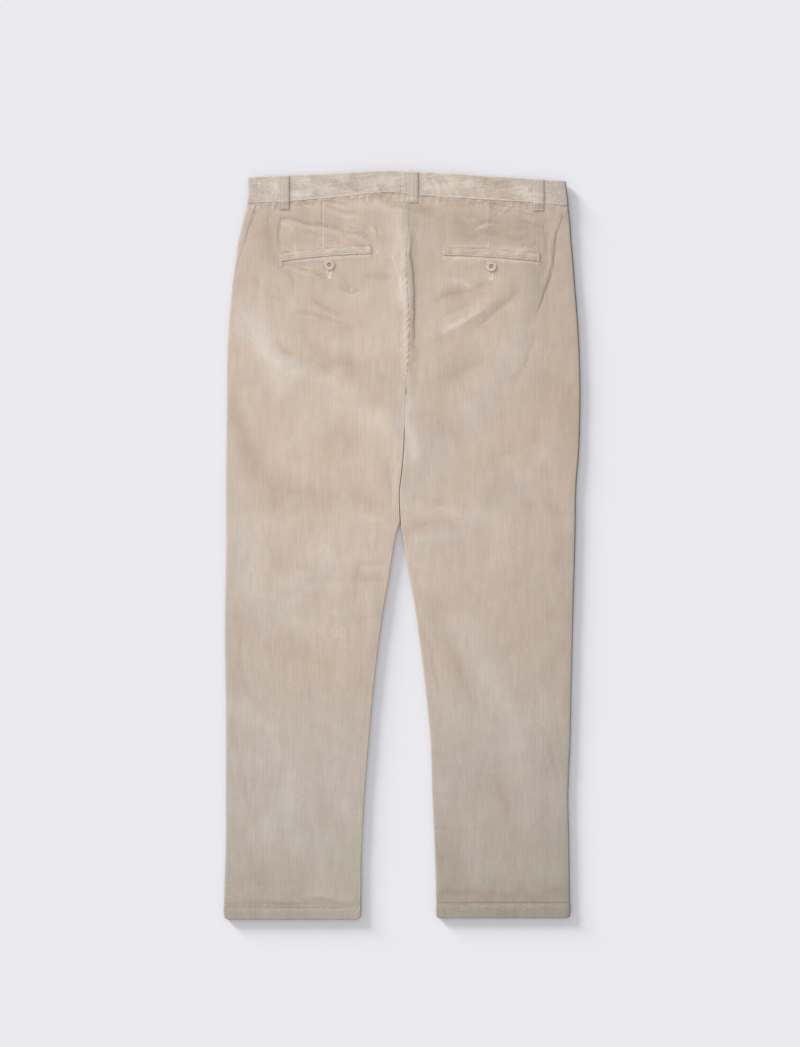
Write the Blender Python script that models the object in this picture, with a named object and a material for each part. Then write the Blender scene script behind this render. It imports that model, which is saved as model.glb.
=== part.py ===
"""Corduroy trousers laid flat, face down, with the back uppermost.

Run with: blender --background --python part.py

Metres, +Z up and +Y towards the waist. The origin lies on the surface that carries them, under their
middle. "Left" is the wearer's left, which is at -X. Every length in the tables is in millimetres.
"""

import math
from collections import namedtuple
from functools import partial

import bpy
import numpy as np

MM = 0.001

# Cloth and seams
CLOTH = 1.6
BAND_CLOTH = 2.2
HEM_CLOTH = 2.4
HEM_DEPTH = 19.0
GAP = 0.3
HIP_SEAM_GAP = 0.65

# Heights of the flattened legs, seat and waistband above the surface
LEG_HEIGHT = 5.6
FLY_RISE = 1.0
BAND_BOTTOM = 1.9
BAND_HEIGHT = 7.6
LAP_RISE = 1.9
BAND_STEP = 0.6
FRONT_STEP = 0.5

# Places along the length, measured from the middle of the trousers. The right leg's hem lies a little higher.
WAIST_ROW = 480.0
HEM_ROW = -527.0
HEM_RISE = {"left": 0.0, "right": 2.2}
CROTCH_TOP = 222.0
CROTCH_BOTTOM = 178.0
LEGS_PART = 33.0
FLY_END = 300.0

# Where each change along the length begins and ends
FLY_RISE_ROWS = (215.0, 265.0)
SHIELD_LIFT_ROWS = (250.0, 290.0)
FLY_BEGIN_ROWS = (FLY_END - 2.0, FLY_END + 10.0)
HIP_SEAM_ROWS = (300.0, 350.0)
SEAM_FOLLOW_ROWS = (400.0, WAIST_ROW)
BACK_RISE_ROWS = (415.0, 475.0)
FRONT_RISE_ROWS = (428.0, 466.0)
FOLD_END_ROWS = (455.0, 478.0)
HEM_RISE_ROWS = (HEM_ROW, -430.0)

# Where each change across the middle is complete and where it ends
BUMP_MIDDLE = 5.0
FLY_BUMP = (60.0, 115.0)
BAND_BUMP = (50.0, 115.0)
SHIELD_LIFT = (36.0, 84.0)
BAND_LIFT = (14.0, 42.0)

# The centre front: how far each front reaches past the centre seam
FLY_LAP = 6.0
BAND_LAP = 8.0
FLY_SHIELD = 38.0

BAND_BACK_SEAM = -1.5
BAND_LOW_ROW = 475.0
BAND_DEPTH = 42.0
BAND_FRONT_LEFT = 37.0
BAND_FRONT_RIGHT = 35.0

LOOP_WIDTH = 15.5
LOOP_CLOTH = 1.6
LOOP_SLACK = 0.6
LOOP_TAIL = 12.0
LOOP_INSET = 0.6
LOOP_CATCH = 2.0

WELT_HEIGHT = 11.0
WELT_CLOTH = 1.3
WELT_CLEARANCE = 0.1

BUTTON_RADIUS = 7.5
BUTTON_HEIGHT = 2.6
BUTTON_DISH = 3.0
BUTTON_DISH_DEPTH = 0.8
BUTTON_CLEARANCE = 0.1
WAIST_BUTTON_RADIUS = 8.5
WAIST_BUTTON_HEIGHT = 1.6
WAIST_BUTTON_IN = 8.0
BUTTON_SIDES = 24

# Outer edges of the two halves
Outer = namedtuple("Outer", "y left right")
OUTER_EDGE = (
    Outer(-527, -241.5, 228.0),
    Outer(-524, -247.6, 233.2),
    Outer(-519, -249.9, 235.6),
    Outer(-500, -250.7, 237.1),
    Outer(-460, -249.6, 236.5),
    Outer(-415, -248.3, 235.8),
    Outer(-359, -248.4, 234.4),
    Outer(-274, -248.3, 237.6),
    Outer(-204, -249.0, 239.0),
    Outer(-133, -249.7, 240.6),
    Outer(8, -248.3, 244.5),
    Outer(92, -248.3, 246.4),
    Outer(130, -248.0, 249.5),
    Outer(173, -247.4, 251.2),
    Outer(290, -245.5, 249.7),
    Outer(346, -241.3, 245.8),
    Outer(403, -234.2, 241.3),
    Outer(431, -230.0, 238.8),
    Outer(460, -222.5, 236.8),
    Outer(475, -218.6, 235.0),
    Outer(527, -216.8, 230.0),
)

# Inner edges of the legs, below the place where they part
Inner = namedtuple("Inner", "y left right")
INNER_EDGE = (
    Inner(-527, -73.0, 55.0),
    Inner(-524, -64.8, 50.8),
    Inner(-518, -59.6, 49.0),
    Inner(-508, -57.4, 48.3),
    Inner(-444, -56.8, 46.8),
    Inner(-359, -53.0, 43.0),
    Inner(-274, -46.0, 40.0),
    Inner(-218, -41.2, 35.0),
    Inner(-133, -31.6, 24.6),
    Inner(-77, -23.4, 16.6),
    Inner(-49, -18.4, 11.0),
    Inner(8, -9.2, 1.6),
    Inner(22, -6.2, -0.8),
    Inner(33, -2.45, -2.15),
)

# The seat seam, and below it the line where the legs touch
Centre = namedtuple("Centre", "y x")
CENTRE_LINE = (
    Centre(33, -2.3),
    Centre(80, -3.2),
    Centre(92, -1.6),
    Centre(130, 2.1),
    Centre(172, 3.8),
    Centre(218, 5.6),
    Centre(291, 10.6),
    Centre(328, 9.9),
    Centre(363, 7.8),
    Centre(407, 6.2),
    Centre(444, 9.6),
    Centre(496, 12.0),
)

# Lines across the waist
Waist = namedtuple("Waist", "x back_top back_seam front_top")
WAIST_LINES = (
    Waist(-218, 518.0, 481.0, 518.0),
    Waist(-131, 522.3, 486.2, 512.5),
    Waist(-76, 524.7, 491.2, 509.5),
    Waist(-22, 526.9, 496.4, 508.0),
    Waist(23, 525.8, 492.2, 507.5),
    Waist(69, 523.3, 489.1, 508.0),
    Waist(123, 519.6, 485.9, 509.0),
    Waist(178, 516.2, 482.9, 510.6),
    Waist(231, 513.0, 478.0, 513.0),
)

# How far round the edge, towards the back, the side seams lie
SideSeam = namedtuple("SideSeam", "y left right")
SIDE_SEAM = (
    SideSeam(-527, 0.0, 0.0),
    SideSeam(-490, 0.0, 0.0),
    SideSeam(-440, 0.0, 1.0),
    SideSeam(280, 0.0, 1.0),
    SideSeam(340, 0.3, 2.4),
    SideSeam(372, 2.4, 2.6),
    SideSeam(400, 6.0, 2.6),
    SideSeam(428, 10.5, 2.6),
    SideSeam(455, 13.2, 2.6),
    SideSeam(496, 13.8, 2.6),
)

# The largest folds of the back: a positive rise is a ridge, a negative one a trough
Fold = namedtuple("Fold", "rise width route")
FOLDS = (
    Fold(1.3, 15, ((-223, 335), (-198, 287), (-168, 255), (-150, 239))),
    Fold(-1.3, 13, ((-143, 317), (-128, 280), (-99, 258), (-51, 250))),
    Fold(-0.9, 12, ((-172, 397), (-150, 372), (-124, 344), (-99, 328))),
    Fold(-1.5, 13, ((-236, 195), (-216, 147), (-193, 104), (-175, 60))),
    Fold(1.1, 12, ((-238, 150), (-232, 110), (-214, 64))),
    Fold(-1.2, 14, ((-175, 74), (-124, 71), (-65, 67), (-28, 53))),
    Fold(0.9, 13, ((-7, 459), (-7, 416), (0, 368), (-1, 324), (-3, 291))),
    Fold(-1.3, 14, ((-174, -46), (-131, -52), (-80, -50), (-34, -49))),
    Fold(1.0, 13, ((-83, -63), (-87, -120), (-85, -190))),
    Fold(-1.0, 13, ((-229, -122), (-224, -190), (-203, -224), (-178, -253))),
    Fold(-1.0, 13, ((-236, -253), (-222, -317), (-216, -359), (-203, -393))),
    Fold(-1.0, 12, ((26, 400), (28, 360), (27, 310), (24, 250))),
    Fold(-1.3, 13, ((64, 349), (96, 356), (121, 368))),
    Fold(1.2, 13, ((59, 305), (96, 328), (126, 346))),
    Fold(-1.3, 13, ((107, 310), (133, 328), (162, 356))),
    Fold(-1.5, 12, ((229, 466), (217, 438), (213, 401), (206, 372), (193, 338), (183, 317))),
    Fold(-1.1, 13, ((66, 232), (100, 250))),
    Fold(-1.2, 13, ((133, 122), (188, 145))),
    Fold(1.1, 12, ((169, 92), (206, 129))),
    Fold(-1.4, 12, ((12, 18), (41, 30), (73, 26))),
    Fold(1.0, 12, ((18, -2), (59, 6))),
    Fold(-1.3, 13, ((51, -97), (76, -164), (106, -224))),
    Fold(1.3, 14, ((76, -105), (110, -173), (144, -224), (169, -258), (178, -317))),
    Fold(-0.9, 12, ((135, -338), (152, -384))),
    Fold(-0.9, 12, ((97, -414), (123, -444))),
    Fold(0.8, 12, ((97, -469), (178, -446), (207, -458))),
)

Welt = namedtuple("Welt", "x_start y_start x_middle y_middle x_end y_end")
WELTS = {
    "left": Welt(-170.5, 405.5, -113.0, 412.0, -42.5, 416.0),
    "right": Welt(58.5, 414.0, 126.0, 411.0, 194.0, 405.2),
}

PocketButton = namedtuple("PocketButton", "x y")
POCKET_BUTTONS = {
    "left": PocketButton(-102.3, 395.0),
    "right": PocketButton(125.6, 393.0),
}

Loop = namedtuple("Loop", "node x")
BACK_LOOPS = (
    Loop("belt_loop_back_left", -166.5),
    Loop("belt_loop_back_centre", 15.0),
    Loop("belt_loop_back_right", 192.0),
)
FRONT_LOOPS = (
    Loop("belt_loop_front_left", -118.0),
    Loop("belt_loop_front_right", 134.0),
)

# Along a belt loop, how far above the waist seam each place lies and its share of the slack
Station = namedtuple("Station", "above slack")
LOOP_STATIONS = (
    Station(-9.0, 0.0),
    Station(-3.5, 0.1),
    Station(-0.8, 0.2),
    Station(3.0, 0.6),
    Station(12.0, 1.0),
    Station(22.0, 0.8),
)

Ring = namedtuple("Ring", "radius height")

# Finish of each material: linear base colour and roughness
CORDUROY = ((0.552, 0.440, 0.352), 0.9)
BUTTON_BROWN = ((0.400, 0.300, 0.220), 0.4)

SIDE = {"left": -1.0, "right": 1.0}

# Rows and columns of the panels
HEM_ROWS = (-527.0, -525.0, -519.5, -508.5, -507.5)
LEG_START = -475.0
BELOW_FLY = FLY_END - 4.0
ABOVE_FLY = FLY_END + 12.0
LEG_ROWS = 14
CROTCH_ROWS = 10
SEAT_ROWS = 12
EDGE_COLUMNS = 4
WRAP_COLUMNS = 6
BACK_COLUMNS = 13
FRONT_COLUMNS = 7
BAND_COLUMNS = 11
BAND_FRONT_COLUMNS = 14
BAND_ROWS = 3
LOOP_ROWS = 4
WELT_COLUMNS = 12
WRAP_MARGIN = 0.4
SEAM_MARGIN = 0.5


def curve(table, column, at, known="y"):
    """A smooth line through a table's rows: cubic pieces whose slopes come from the rows on either side."""
    places = np.array([getattr(row, known) for row in table], float)
    values = np.array([getattr(row, column) for row in table], float)
    slopes = np.gradient(values, places)
    at = np.clip(at, places[0], places[-1])
    piece = np.clip(np.searchsorted(places, at) - 1, 0, len(places) - 2)
    span = places[piece + 1] - places[piece]
    t = (at - places[piece]) / span
    return (
        (1 + 2 * t) * (1 - t) ** 2 * values[piece]
        + t * (1 - t) ** 2 * span * slopes[piece]
        + t**2 * (3 - 2 * t) * values[piece + 1]
        + t**2 * (t - 1) * span * slopes[piece + 1]
    )


def ease(at, start, end):
    """0 at start and 1 at end, level at both."""
    t = np.clip((at - start) / (end - start), 0.0, 1.0)
    return t * t * (3 - 2 * t)


def fold_height(x, y):
    """All folds together: each is a bell across its route, and dies away past its two ends."""
    total = np.zeros(np.broadcast(x, y).shape)
    for fold in FOLDS:
        route = np.array(fold.route, float)
        nearest = np.full(total.shape, np.inf)
        for start, end in zip(route[:-1], route[1:]):
            along = end - start
            t = ((x - start[0]) * along[0] + (y - start[1]) * along[1]) / (along @ along)
            t = np.clip(t, 0.0, 1.0)
            away = np.hypot(x - start[0] - t * along[0], y - start[1] - t * along[1])
            nearest = np.minimum(nearest, away)
        total += fold.rise * np.exp(-((nearest / fold.width) ** 2))
    return total


def middle_bump(x, reach):
    """1 over the middle of the trousers, where the fly makes them thicker, and 0 past its reach."""
    return 1.0 - ease(np.abs(x - BUMP_MIDDLE), *reach)


def band_top(x):
    """Height of the waistband's outer face on the back."""
    return BAND_HEIGHT + LAP_RISE * middle_bump(x, BAND_BUMP)


def back_top(x, y, folds=True):
    """Height of the back panels' outer face."""
    seat = LEG_HEIGHT + FLY_RISE * middle_bump(x, FLY_BUMP) * ease(y, *FLY_RISE_ROWS)
    seat = seat + (band_top(x) - BAND_STEP - seat) * ease(y, *BACK_RISE_ROWS)
    if folds:
        seat = seat + fold_height(x, y) * (1.0 - ease(y, *FOLD_END_ROWS))
    return seat


def front_bottom(y):
    """Height of the front panels' outer face: on the surface, and up to the waistband near the waist."""
    return (BAND_BOTTOM + FRONT_STEP) * ease(y, *FRONT_RISE_ROWS)


def fly_shield_lift(x, y):
    """How far the right front is raised where it passes over the left one."""
    edge = curve(CENTRE_LINE, "x", y) + front_reach("left", y)
    return (CLOTH + GAP) * (1.0 - ease(x - edge, *SHIELD_LIFT)) * ease(y, *SHIELD_LIFT_ROWS)


def front_reach(side, y):
    """How far past the centre line a front panel's edge lies, towards +X."""
    begun = ease(y, *FLY_BEGIN_ROWS)
    return {"left": FLY_LAP, "right": -FLY_SHIELD}[side] * begun


def outer_edge(side, y):
    """Distance of a half's outer edge from x = 0."""
    return SIDE[side] * curve(OUTER_EDGE, side, y)


def inner_edge(side, face, y):
    """Where a half ends towards the middle, measured outwards from x = 0."""
    centre = curve(CENTRE_LINE, "x", y)
    touching = crotch_share(y) * GAP / 2 * SIDE[side]
    edge = np.where(y < LEGS_PART, curve(INNER_EDGE, side, y), centre + touching)
    if face == "front":
        edge = edge + front_reach(side, y)
    return SIDE[side] * edge


def crotch_share(y):
    """0 where the halves meet flat along the seat seam, 1 where each leg is a tube of its own."""
    return 1.0 - ease(y, CROTCH_BOTTOM, CROTCH_TOP)


def seam_line(x, back):
    """The waist seam of the back, or of the front where back is false."""
    depth = np.interp(x, (-218.0, 231.0), (BAND_FRONT_LEFT, BAND_FRONT_RIGHT))
    behind = curve(WAIST_LINES, "back_seam", x, "x")
    ahead = curve(WAIST_LINES, "front_top", x, "x") - depth
    return np.where(back, behind, ahead)


def edge_radius(side, row):
    """Half the height of the flattened tube at its outer edge, with no fold."""
    edge = SIDE[side] * outer_edge(side, row)
    return (back_top(edge, row, folds=False) - front_bottom(row)) / 2


def panel_surface(face, side, around, row):
    """The outer face of one half as a flattened tube.

    around runs from the outermost line (0) over the back (+) or under the front (-), along the surface.
    row is the height along the trousers, and near the waist it bends to follow the waist seam. The tube
    is a half circle at its outer edge, flat between, and a quarter circle on each face at a leg's inner
    edge. That quarter circle opens to a flat end above the crotch.
    """
    bottom = front_bottom(row)
    edge = outer_edge(side, row)
    radius = edge_radius(side, row)
    middle = bottom + radius
    quarter = math.pi / 2 * radius
    share = crotch_share(row)
    inner = inner_edge(side, face, row)
    end_round = radius * (1 + share * (math.pi / 2 - 1))
    flat_end = quarter + edge - inner - 2 * radius
    distance = np.abs(around)
    angle = np.clip(around / radius, -math.pi / 2, math.pi / 2)
    turn = (distance - flat_end) / end_round
    past = np.clip(turn, 0.0, None)
    last = radius * ((1 - share) * past + share * np.sin(math.pi / 2 * past))
    out = edge - radius * (1 - np.cos(angle)) - np.clip(distance - quarter, 0.0, flat_end - quarter)
    out = out - np.where(turn > 0, last, 0.0)
    x = SIDE[side] * out
    back = around > 0
    y = row + (seam_line(x, back) - WAIST_ROW) * ease(row, *SEAM_FOLLOW_ROWS)
    y = y + HEM_RISE[side] * (1.0 - ease(row, *HEM_RISE_ROWS))
    level = np.sin(angle) * (1 - share * (1 - np.cos(math.pi / 2 * past)))
    upper = back_top(x, y)
    lower = bottom * np.ones_like(x)
    if face == "front" and side == "right":
        lower = lower + fly_shield_lift(x, y)
    z = middle + np.where(level > 0, level * (upper - middle), level * (middle - lower))
    return np.stack([x, y, z], axis=-1)


def band_surface(side, around, up):
    """The waistband's outer face: around as on the panels, and up from its seam (0) to its top (1)."""
    edge = outer_edge(side, BAND_LOW_ROW + BAND_DEPTH * up)
    radius = (BAND_HEIGHT - BAND_BOTTOM) / 2
    quarter = math.pi / 2 * radius
    angle = np.clip(around / radius, -math.pi / 2, math.pi / 2)
    out = edge - radius * (1 - np.cos(angle)) - np.clip(np.abs(around) - quarter, 0.0, None)
    x = SIDE[side] * out
    back = around > 0
    low = seam_line(x, back) + GAP
    tops = (curve(WAIST_LINES, "back_top", x, "x"), curve(WAIST_LINES, "front_top", x, "x"))
    high = np.where(back, tops[0], tops[1])
    middle = BAND_BOTTOM + radius
    lower = BAND_BOTTOM * np.ones_like(x)
    if side == "right":
        lap_edge = curve(CENTRE_LINE, "x", WAIST_ROW) + BAND_LAP
        lower = lower + (BAND_CLOTH + GAP) * (1.0 - ease(x - lap_edge, *BAND_LIFT))
    sine = np.sin(angle)
    z = middle + np.where(back, sine * (band_top(x) - middle), sine * (middle - lower))
    return np.stack([x, low + (high - low) * up, z], axis=-1)


def inward(side, surface, around, along):
    """Unit normals in the plane of a section, pointing inside the tube, from a small step around it."""
    step = 0.05
    run = surface(side, around + step, along) - surface(side, around - step, along)
    normal = np.stack([run[..., 2], np.zeros_like(around), -run[..., 0]], axis=-1)
    normal = normal * [-SIDE[side], 0.0, -SIDE[side]]
    return normal / np.linalg.norm(normal, axis=-1, keepdims=True)


def make_material(name, finish):
    material = bpy.data.materials.new(name)
    material.use_nodes = True
    shader = material.node_tree.nodes["Principled BSDF"]
    shader.inputs["Base Color"].default_value = (*finish[0], 1.0)
    shader.inputs["Roughness"].default_value = finish[1]
    shader.inputs["Metallic"].default_value = 0.0
    return material


def add_solid(name, points, faces, finish):
    """One closed solid from points in millimetres."""
    mesh = bpy.data.meshes.new(name)
    mesh.from_pydata((np.asarray(points) * MM).tolist(), [], [list(map(int, face)) for face in faces])
    mesh.shade_smooth()
    mesh.set_sharp_from_angle(angle=math.radians(40))
    mesh.materials.append(make_material(name, finish))
    piece = bpy.data.objects.new(name, mesh)
    bpy.context.collection.objects.link(piece)
    return piece


def add_wall(name, outside, inside, flip, finish):
    """A sheet with a thickness: two grids of points, joined round their rims."""
    rows, columns = outside.shape[:2]
    index = np.arange(rows * columns).reshape(rows, columns)
    quads = np.stack([index[:-1, :-1], index[:-1, 1:], index[1:, 1:], index[1:, :-1]], axis=-1)
    quads = quads.reshape(-1, 4)
    rim = np.concatenate([index[0, :-1], index[:-1, -1], index[-1, :0:-1], index[:0:-1, 0]])
    after = np.roll(rim, -1)
    count = rows * columns
    sides = np.stack([after, rim, rim + count, after + count], axis=-1)
    faces = np.concatenate([quads, quads[:, ::-1] + count, sides])
    if flip:
        faces = faces[:, ::-1]
    points = np.concatenate([outside.reshape(-1, 3), inside.reshape(-1, 3)])
    return add_solid(name, points, faces, finish)


def panel_rows():
    """Rows shared by the front and the back, so that their side seams run side by side."""
    leg = np.linspace(LEG_START, 0.0, LEG_ROWS, endpoint=False)
    crotch = np.linspace(0.0, BELOW_FLY, CROTCH_ROWS, endpoint=False)
    seat = np.linspace(ABOVE_FLY, WAIST_ROW, SEAT_ROWS)
    return np.concatenate([HEM_ROWS, leg, crotch, [BELOW_FLY], seat])


def panel_columns(side, face, rows):
    """For each row, the places around the tube: round the edge, across, and round the inner edge."""
    edge = outer_edge(side, rows)
    radius = edge_radius(side, rows)
    share = crotch_share(rows)
    start = curve(SIDE_SEAM, side, rows)
    seam_gap = GAP + (HIP_SEAM_GAP - GAP) * ease(rows, *HIP_SEAM_ROWS)
    flat = edge - inner_edge(side, face, rows) - 2 * radius
    end_round = radius * (1 + share * (math.pi / 2 - 1))
    flat_end = math.pi / 2 * radius + flat
    if face == "back":
        first = start + seam_gap / 2
        second = first + math.pi / 2 * radius
        wraps, spans, sign = EDGE_COLUMNS, BACK_COLUMNS, 1.0
    else:
        first = start - seam_gap / 2
        second = -math.pi / 2 * radius - WRAP_MARGIN
        wraps, spans, sign = WRAP_COLUMNS, FRONT_COLUMNS, -1.0
    third = sign * flat_end
    last = sign * (flat_end + end_round - GAP / 2)
    zones = ((first, second, wraps), (second, third, spans), (third, last, EDGE_COLUMNS))
    shares = [a[:, None] + (b - a)[:, None] * (np.arange(n) / n)[None, :] for a, b, n in zones]
    return np.concatenate([*shares, last[:, None]], axis=1)


def add_panel(side, face):
    rows = panel_rows()
    around = panel_columns(side, face, rows)
    row = np.broadcast_to(rows[:, None], around.shape)
    outside = panel_surface(face, side, around, row)
    normals = inward(side, partial(panel_surface, face), around, row)
    thickness = CLOTH + (HEM_CLOTH - CLOTH) * (row < HEM_ROW + HEM_DEPTH)
    inside = outside + normals * thickness[..., None]
    outside[-1, :, 1] -= GAP / 2
    inside[-1, :, 1] -= GAP / 2
    add_wall(f"{face}_{side}", outside, inside, (side == "left") != (face == "back"), CORDUROY)


def add_waistband(side):
    """Half of the waistband, from the centre back round the side to the centre front."""
    radius = (BAND_HEIGHT - BAND_BOTTOM) / 2
    quarter = math.pi / 2 * radius
    up = np.linspace(0.0, 1.0, BAND_ROWS)
    edge = outer_edge(side, BAND_LOW_ROW + BAND_DEPTH * up)
    back_end = SIDE[side] * BAND_BACK_SEAM + GAP / 2
    front_lap = {"left": BAND_LAP, "right": -FLY_SHIELD}[side]
    front_end = SIDE[side] * (float(curve(CENTRE_LINE, "x", WAIST_ROW)) + front_lap)
    around = np.concatenate(
        [
            np.linspace(front_end + radius - quarter - edge, -quarter, BAND_FRONT_COLUMNS, endpoint=False),
            np.linspace(-quarter, quarter, WRAP_COLUMNS, endpoint=False)[:, None] * np.ones_like(edge),
            np.linspace(quarter, quarter + edge - radius - back_end, BAND_COLUMNS),
        ]
    ).T
    up = np.broadcast_to(up[:, None], around.shape)
    outside = band_surface(side, around, up)
    normals = inward(side, band_surface, around, up)
    add_wall(f"waistband_{side}", outside, outside + normals * BAND_CLOTH, side == "right", CORDUROY)


def carried_height(x, y):
    """Height of the band or panel under a piece that lies on the back."""
    on_band = y > seam_line(x, True) - SEAM_MARGIN
    return np.where(on_band, band_top(x), back_top(x, y))


def highest_near(x, y):
    """The highest face a little way along Y, so that a strap clears the band's edge."""
    return np.max([carried_height(x, y + shift) for shift in np.linspace(-LOOP_CATCH, LOOP_CATCH, 7)], axis=0)


def add_back_loop(loop):
    """A belt loop over the waistband's back, tacked at the top and just below the waist seam."""
    top = float(curve(WAIST_LINES, "back_top", loop.x, "x")) - LOOP_INSET
    seam = float(seam_line(loop.x, True))
    y = np.array([seam - LOOP_TAIL, *(seam + station.above for station in LOOP_STATIONS), top])
    slack = np.array([0.0, *(station.slack for station in LOOP_STATIONS), 0.0]) * LOOP_SLACK
    x = loop.x + LOOP_WIDTH * np.array([-0.5, 0.0, 0.5])
    x, y, slack = np.broadcast_arrays(x[None, :], y[:, None], slack[:, None])
    under = highest_near(x, y) + GAP + slack
    inside = np.stack([x, y, under], axis=-1)
    add_wall(loop.node, inside + [0.0, 0.0, LOOP_CLOTH], inside, False, CORDUROY)


def add_front_loop(loop):
    """A belt loop on the hidden front: it lies between the waistband and the surface."""
    top = float(curve(WAIST_LINES, "front_top", loop.x, "x")) - LOOP_INSET
    low = float(seam_line(loop.x, False)) - LOOP_TAIL
    x = loop.x + LOOP_WIDTH * np.array([-0.5, 0.5])
    y = np.linspace(low, top, LOOP_ROWS)
    x, y = np.broadcast_arrays(x[None, :], y[:, None])
    outside = np.stack([x, y, np.zeros_like(x)], axis=-1)
    thickness = BAND_BOTTOM - GAP
    add_wall(loop.node, outside + [0.0, 0.0, thickness], outside, False, CORDUROY)


def add_welt(side):
    """The single welt of a back pocket: a strip along a shallow arc, moved out from the panel."""
    welt = WELTS[side]
    t = np.linspace(0.0, 1.0, WELT_COLUMNS)
    x = welt.x_start + (welt.x_end - welt.x_start) * t
    places = (welt.x_start, welt.x_middle, welt.x_end)
    bend = np.polyfit(places, (welt.y_start, welt.y_middle, welt.y_end), 2)
    middle = np.polyval(bend, x)
    across = WELT_HEIGHT * np.array([-0.5, 0.0, 0.5])
    x, y = np.broadcast_arrays(x[None, :], middle[None, :] + across[:, None])
    inside = np.stack([x, y, back_top(x, y) + GAP + WELT_CLEARANCE], axis=-1)
    add_wall(f"pocket_welt_{side}", inside + [0.0, 0.0, WELT_CLOTH], inside, False, CORDUROY)


def add_button(name, centre, radius, height, dished_up):
    """A turned button with a flat rim and a round dish, as rings from its back to the dish's middle."""
    dish = BUTTON_DISH * radius / BUTTON_RADIUS
    floor = height - BUTTON_DISH_DEPTH * height / BUTTON_HEIGHT
    rings = (
        Ring(radius * 0.86, 0.0),
        Ring(radius, height * 0.38),
        Ring(radius * 0.97, height * 0.8),
        Ring(radius * 0.86, height),
        Ring(dish, height),
        Ring(dish * 0.8, floor),
    )
    turn = np.arange(BUTTON_SIDES) * 2 * math.pi / BUTTON_SIDES
    points = []
    for level in rings:
        z = level.height if dished_up else height - level.height
        circle = [np.cos(turn) * level.radius, np.sin(turn) * level.radius, np.full_like(turn, z)]
        points.append(np.stack(circle, axis=-1))
    points = np.concatenate(points) + centre
    faces = []
    for level in range(len(rings) - 1):
        for side in range(BUTTON_SIDES):
            after = (side + 1) % BUTTON_SIDES
            low, high = level * BUTTON_SIDES, (level + 1) * BUTTON_SIDES
            faces.append((low + side, low + after, high + after, high + side))
    last = (len(rings) - 1) * BUTTON_SIDES
    faces.append(tuple(range(BUTTON_SIDES))[::-1])
    faces.append(tuple(range(last, last + BUTTON_SIDES)))
    if not dished_up:
        faces = [face[::-1] for face in faces]
    add_solid(name, points, faces, BUTTON_BROWN)


def add_pocket_button(side):
    """A pocket button on its panel, clear of the highest point under it."""
    place = POCKET_BUTTONS[side]
    turn = np.linspace(0.0, 2 * math.pi, 16, endpoint=False)
    under = back_top(place.x + BUTTON_RADIUS * np.cos(turn), place.y + BUTTON_RADIUS * np.sin(turn))
    middle = back_top(np.array([place.x]), np.array([place.y]))
    z = max(under.max(), middle.max()) + GAP + BUTTON_CLEARANCE
    add_button(f"pocket_button_{side}", (place.x, place.y, z), BUTTON_RADIUS, BUTTON_HEIGHT, True)


def add_waist_button():
    """The closing button: on the outer, downward face of the left waistband at the centre front."""
    x = float(curve(CENTRE_LINE, "x", WAIST_ROW)) - WAIST_BUTTON_IN
    y = float(curve(WAIST_LINES, "front_top", x, "x")) - BAND_FRONT_LEFT / 2
    add_button("waist_button", (x, y, 0.0), WAIST_BUTTON_RADIUS, WAIST_BUTTON_HEIGHT, False)


def main():
    for leftover in list(bpy.data.objects):
        bpy.data.objects.remove(leftover)
    for side in ("left", "right"):
        add_panel(side, "back")
        add_panel(side, "front")
        add_waistband(side)
        add_welt(side)
        add_pocket_button(side)
    for loop in BACK_LOOPS:
        add_back_loop(loop)
    for loop in FRONT_LOOPS:
        add_front_loop(loop)
    add_waist_button()


main()
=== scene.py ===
"""The looks of the corduroy trousers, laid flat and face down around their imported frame.

Metres at the meshes, +Z up and +Y towards the waist. "Left" is the wearer's left, which is at -X. The tables
and the shape functions are in millimetres. The cut's own coordinates are "grain", which runs across the
wales and along the cloth, and "row", which runs along them towards the waist.
"""

import math
from collections import namedtuple
from functools import partial

import bpy
import numpy as np
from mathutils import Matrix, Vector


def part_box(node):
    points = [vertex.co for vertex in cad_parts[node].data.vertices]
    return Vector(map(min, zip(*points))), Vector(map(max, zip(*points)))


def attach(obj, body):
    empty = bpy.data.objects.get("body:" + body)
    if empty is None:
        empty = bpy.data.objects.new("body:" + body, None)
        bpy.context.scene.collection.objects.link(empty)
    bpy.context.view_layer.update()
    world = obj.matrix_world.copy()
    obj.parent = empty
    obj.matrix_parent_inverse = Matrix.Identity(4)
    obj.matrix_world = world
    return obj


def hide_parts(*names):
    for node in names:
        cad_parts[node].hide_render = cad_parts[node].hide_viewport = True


bl_info = {
    "name": "Corduroy Trousers",
    "version": (1, 0, 0),
    "blender": (4, 5, 0),
    "location": "3D View > Sidebar > Trousers",
    "description": "Corduroy cloth, sewing and buttons around the packed trousers, and their stage",
    "category": "Object",
}

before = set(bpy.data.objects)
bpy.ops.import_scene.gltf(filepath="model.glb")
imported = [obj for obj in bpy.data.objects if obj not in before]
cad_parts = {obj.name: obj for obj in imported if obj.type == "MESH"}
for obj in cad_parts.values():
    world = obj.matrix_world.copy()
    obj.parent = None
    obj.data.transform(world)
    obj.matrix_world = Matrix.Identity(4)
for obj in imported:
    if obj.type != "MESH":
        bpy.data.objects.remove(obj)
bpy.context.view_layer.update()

MM = 0.001

Stroke = namedtuple("Stroke", "rise width route")
Swell = namedtuple("Swell", "height middle width")


def table(columns, *rows):
    """Rows of numbers under the names of their columns."""
    kind = namedtuple("Row", columns)
    return tuple(kind(*row) for row in rows)


def strokes(*rows):
    """Soft strokes, each from its rise, its width and the points of its route."""
    return tuple(Stroke(rise, width, route) for rise, width, *route in rows)


# Cloth and seams
CLOTH = 1.6
BAND_CLOTH = 2.2
HEM_CLOTH = 2.4
GAP = 0.3
SEWN_GAP = 0.12

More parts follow.
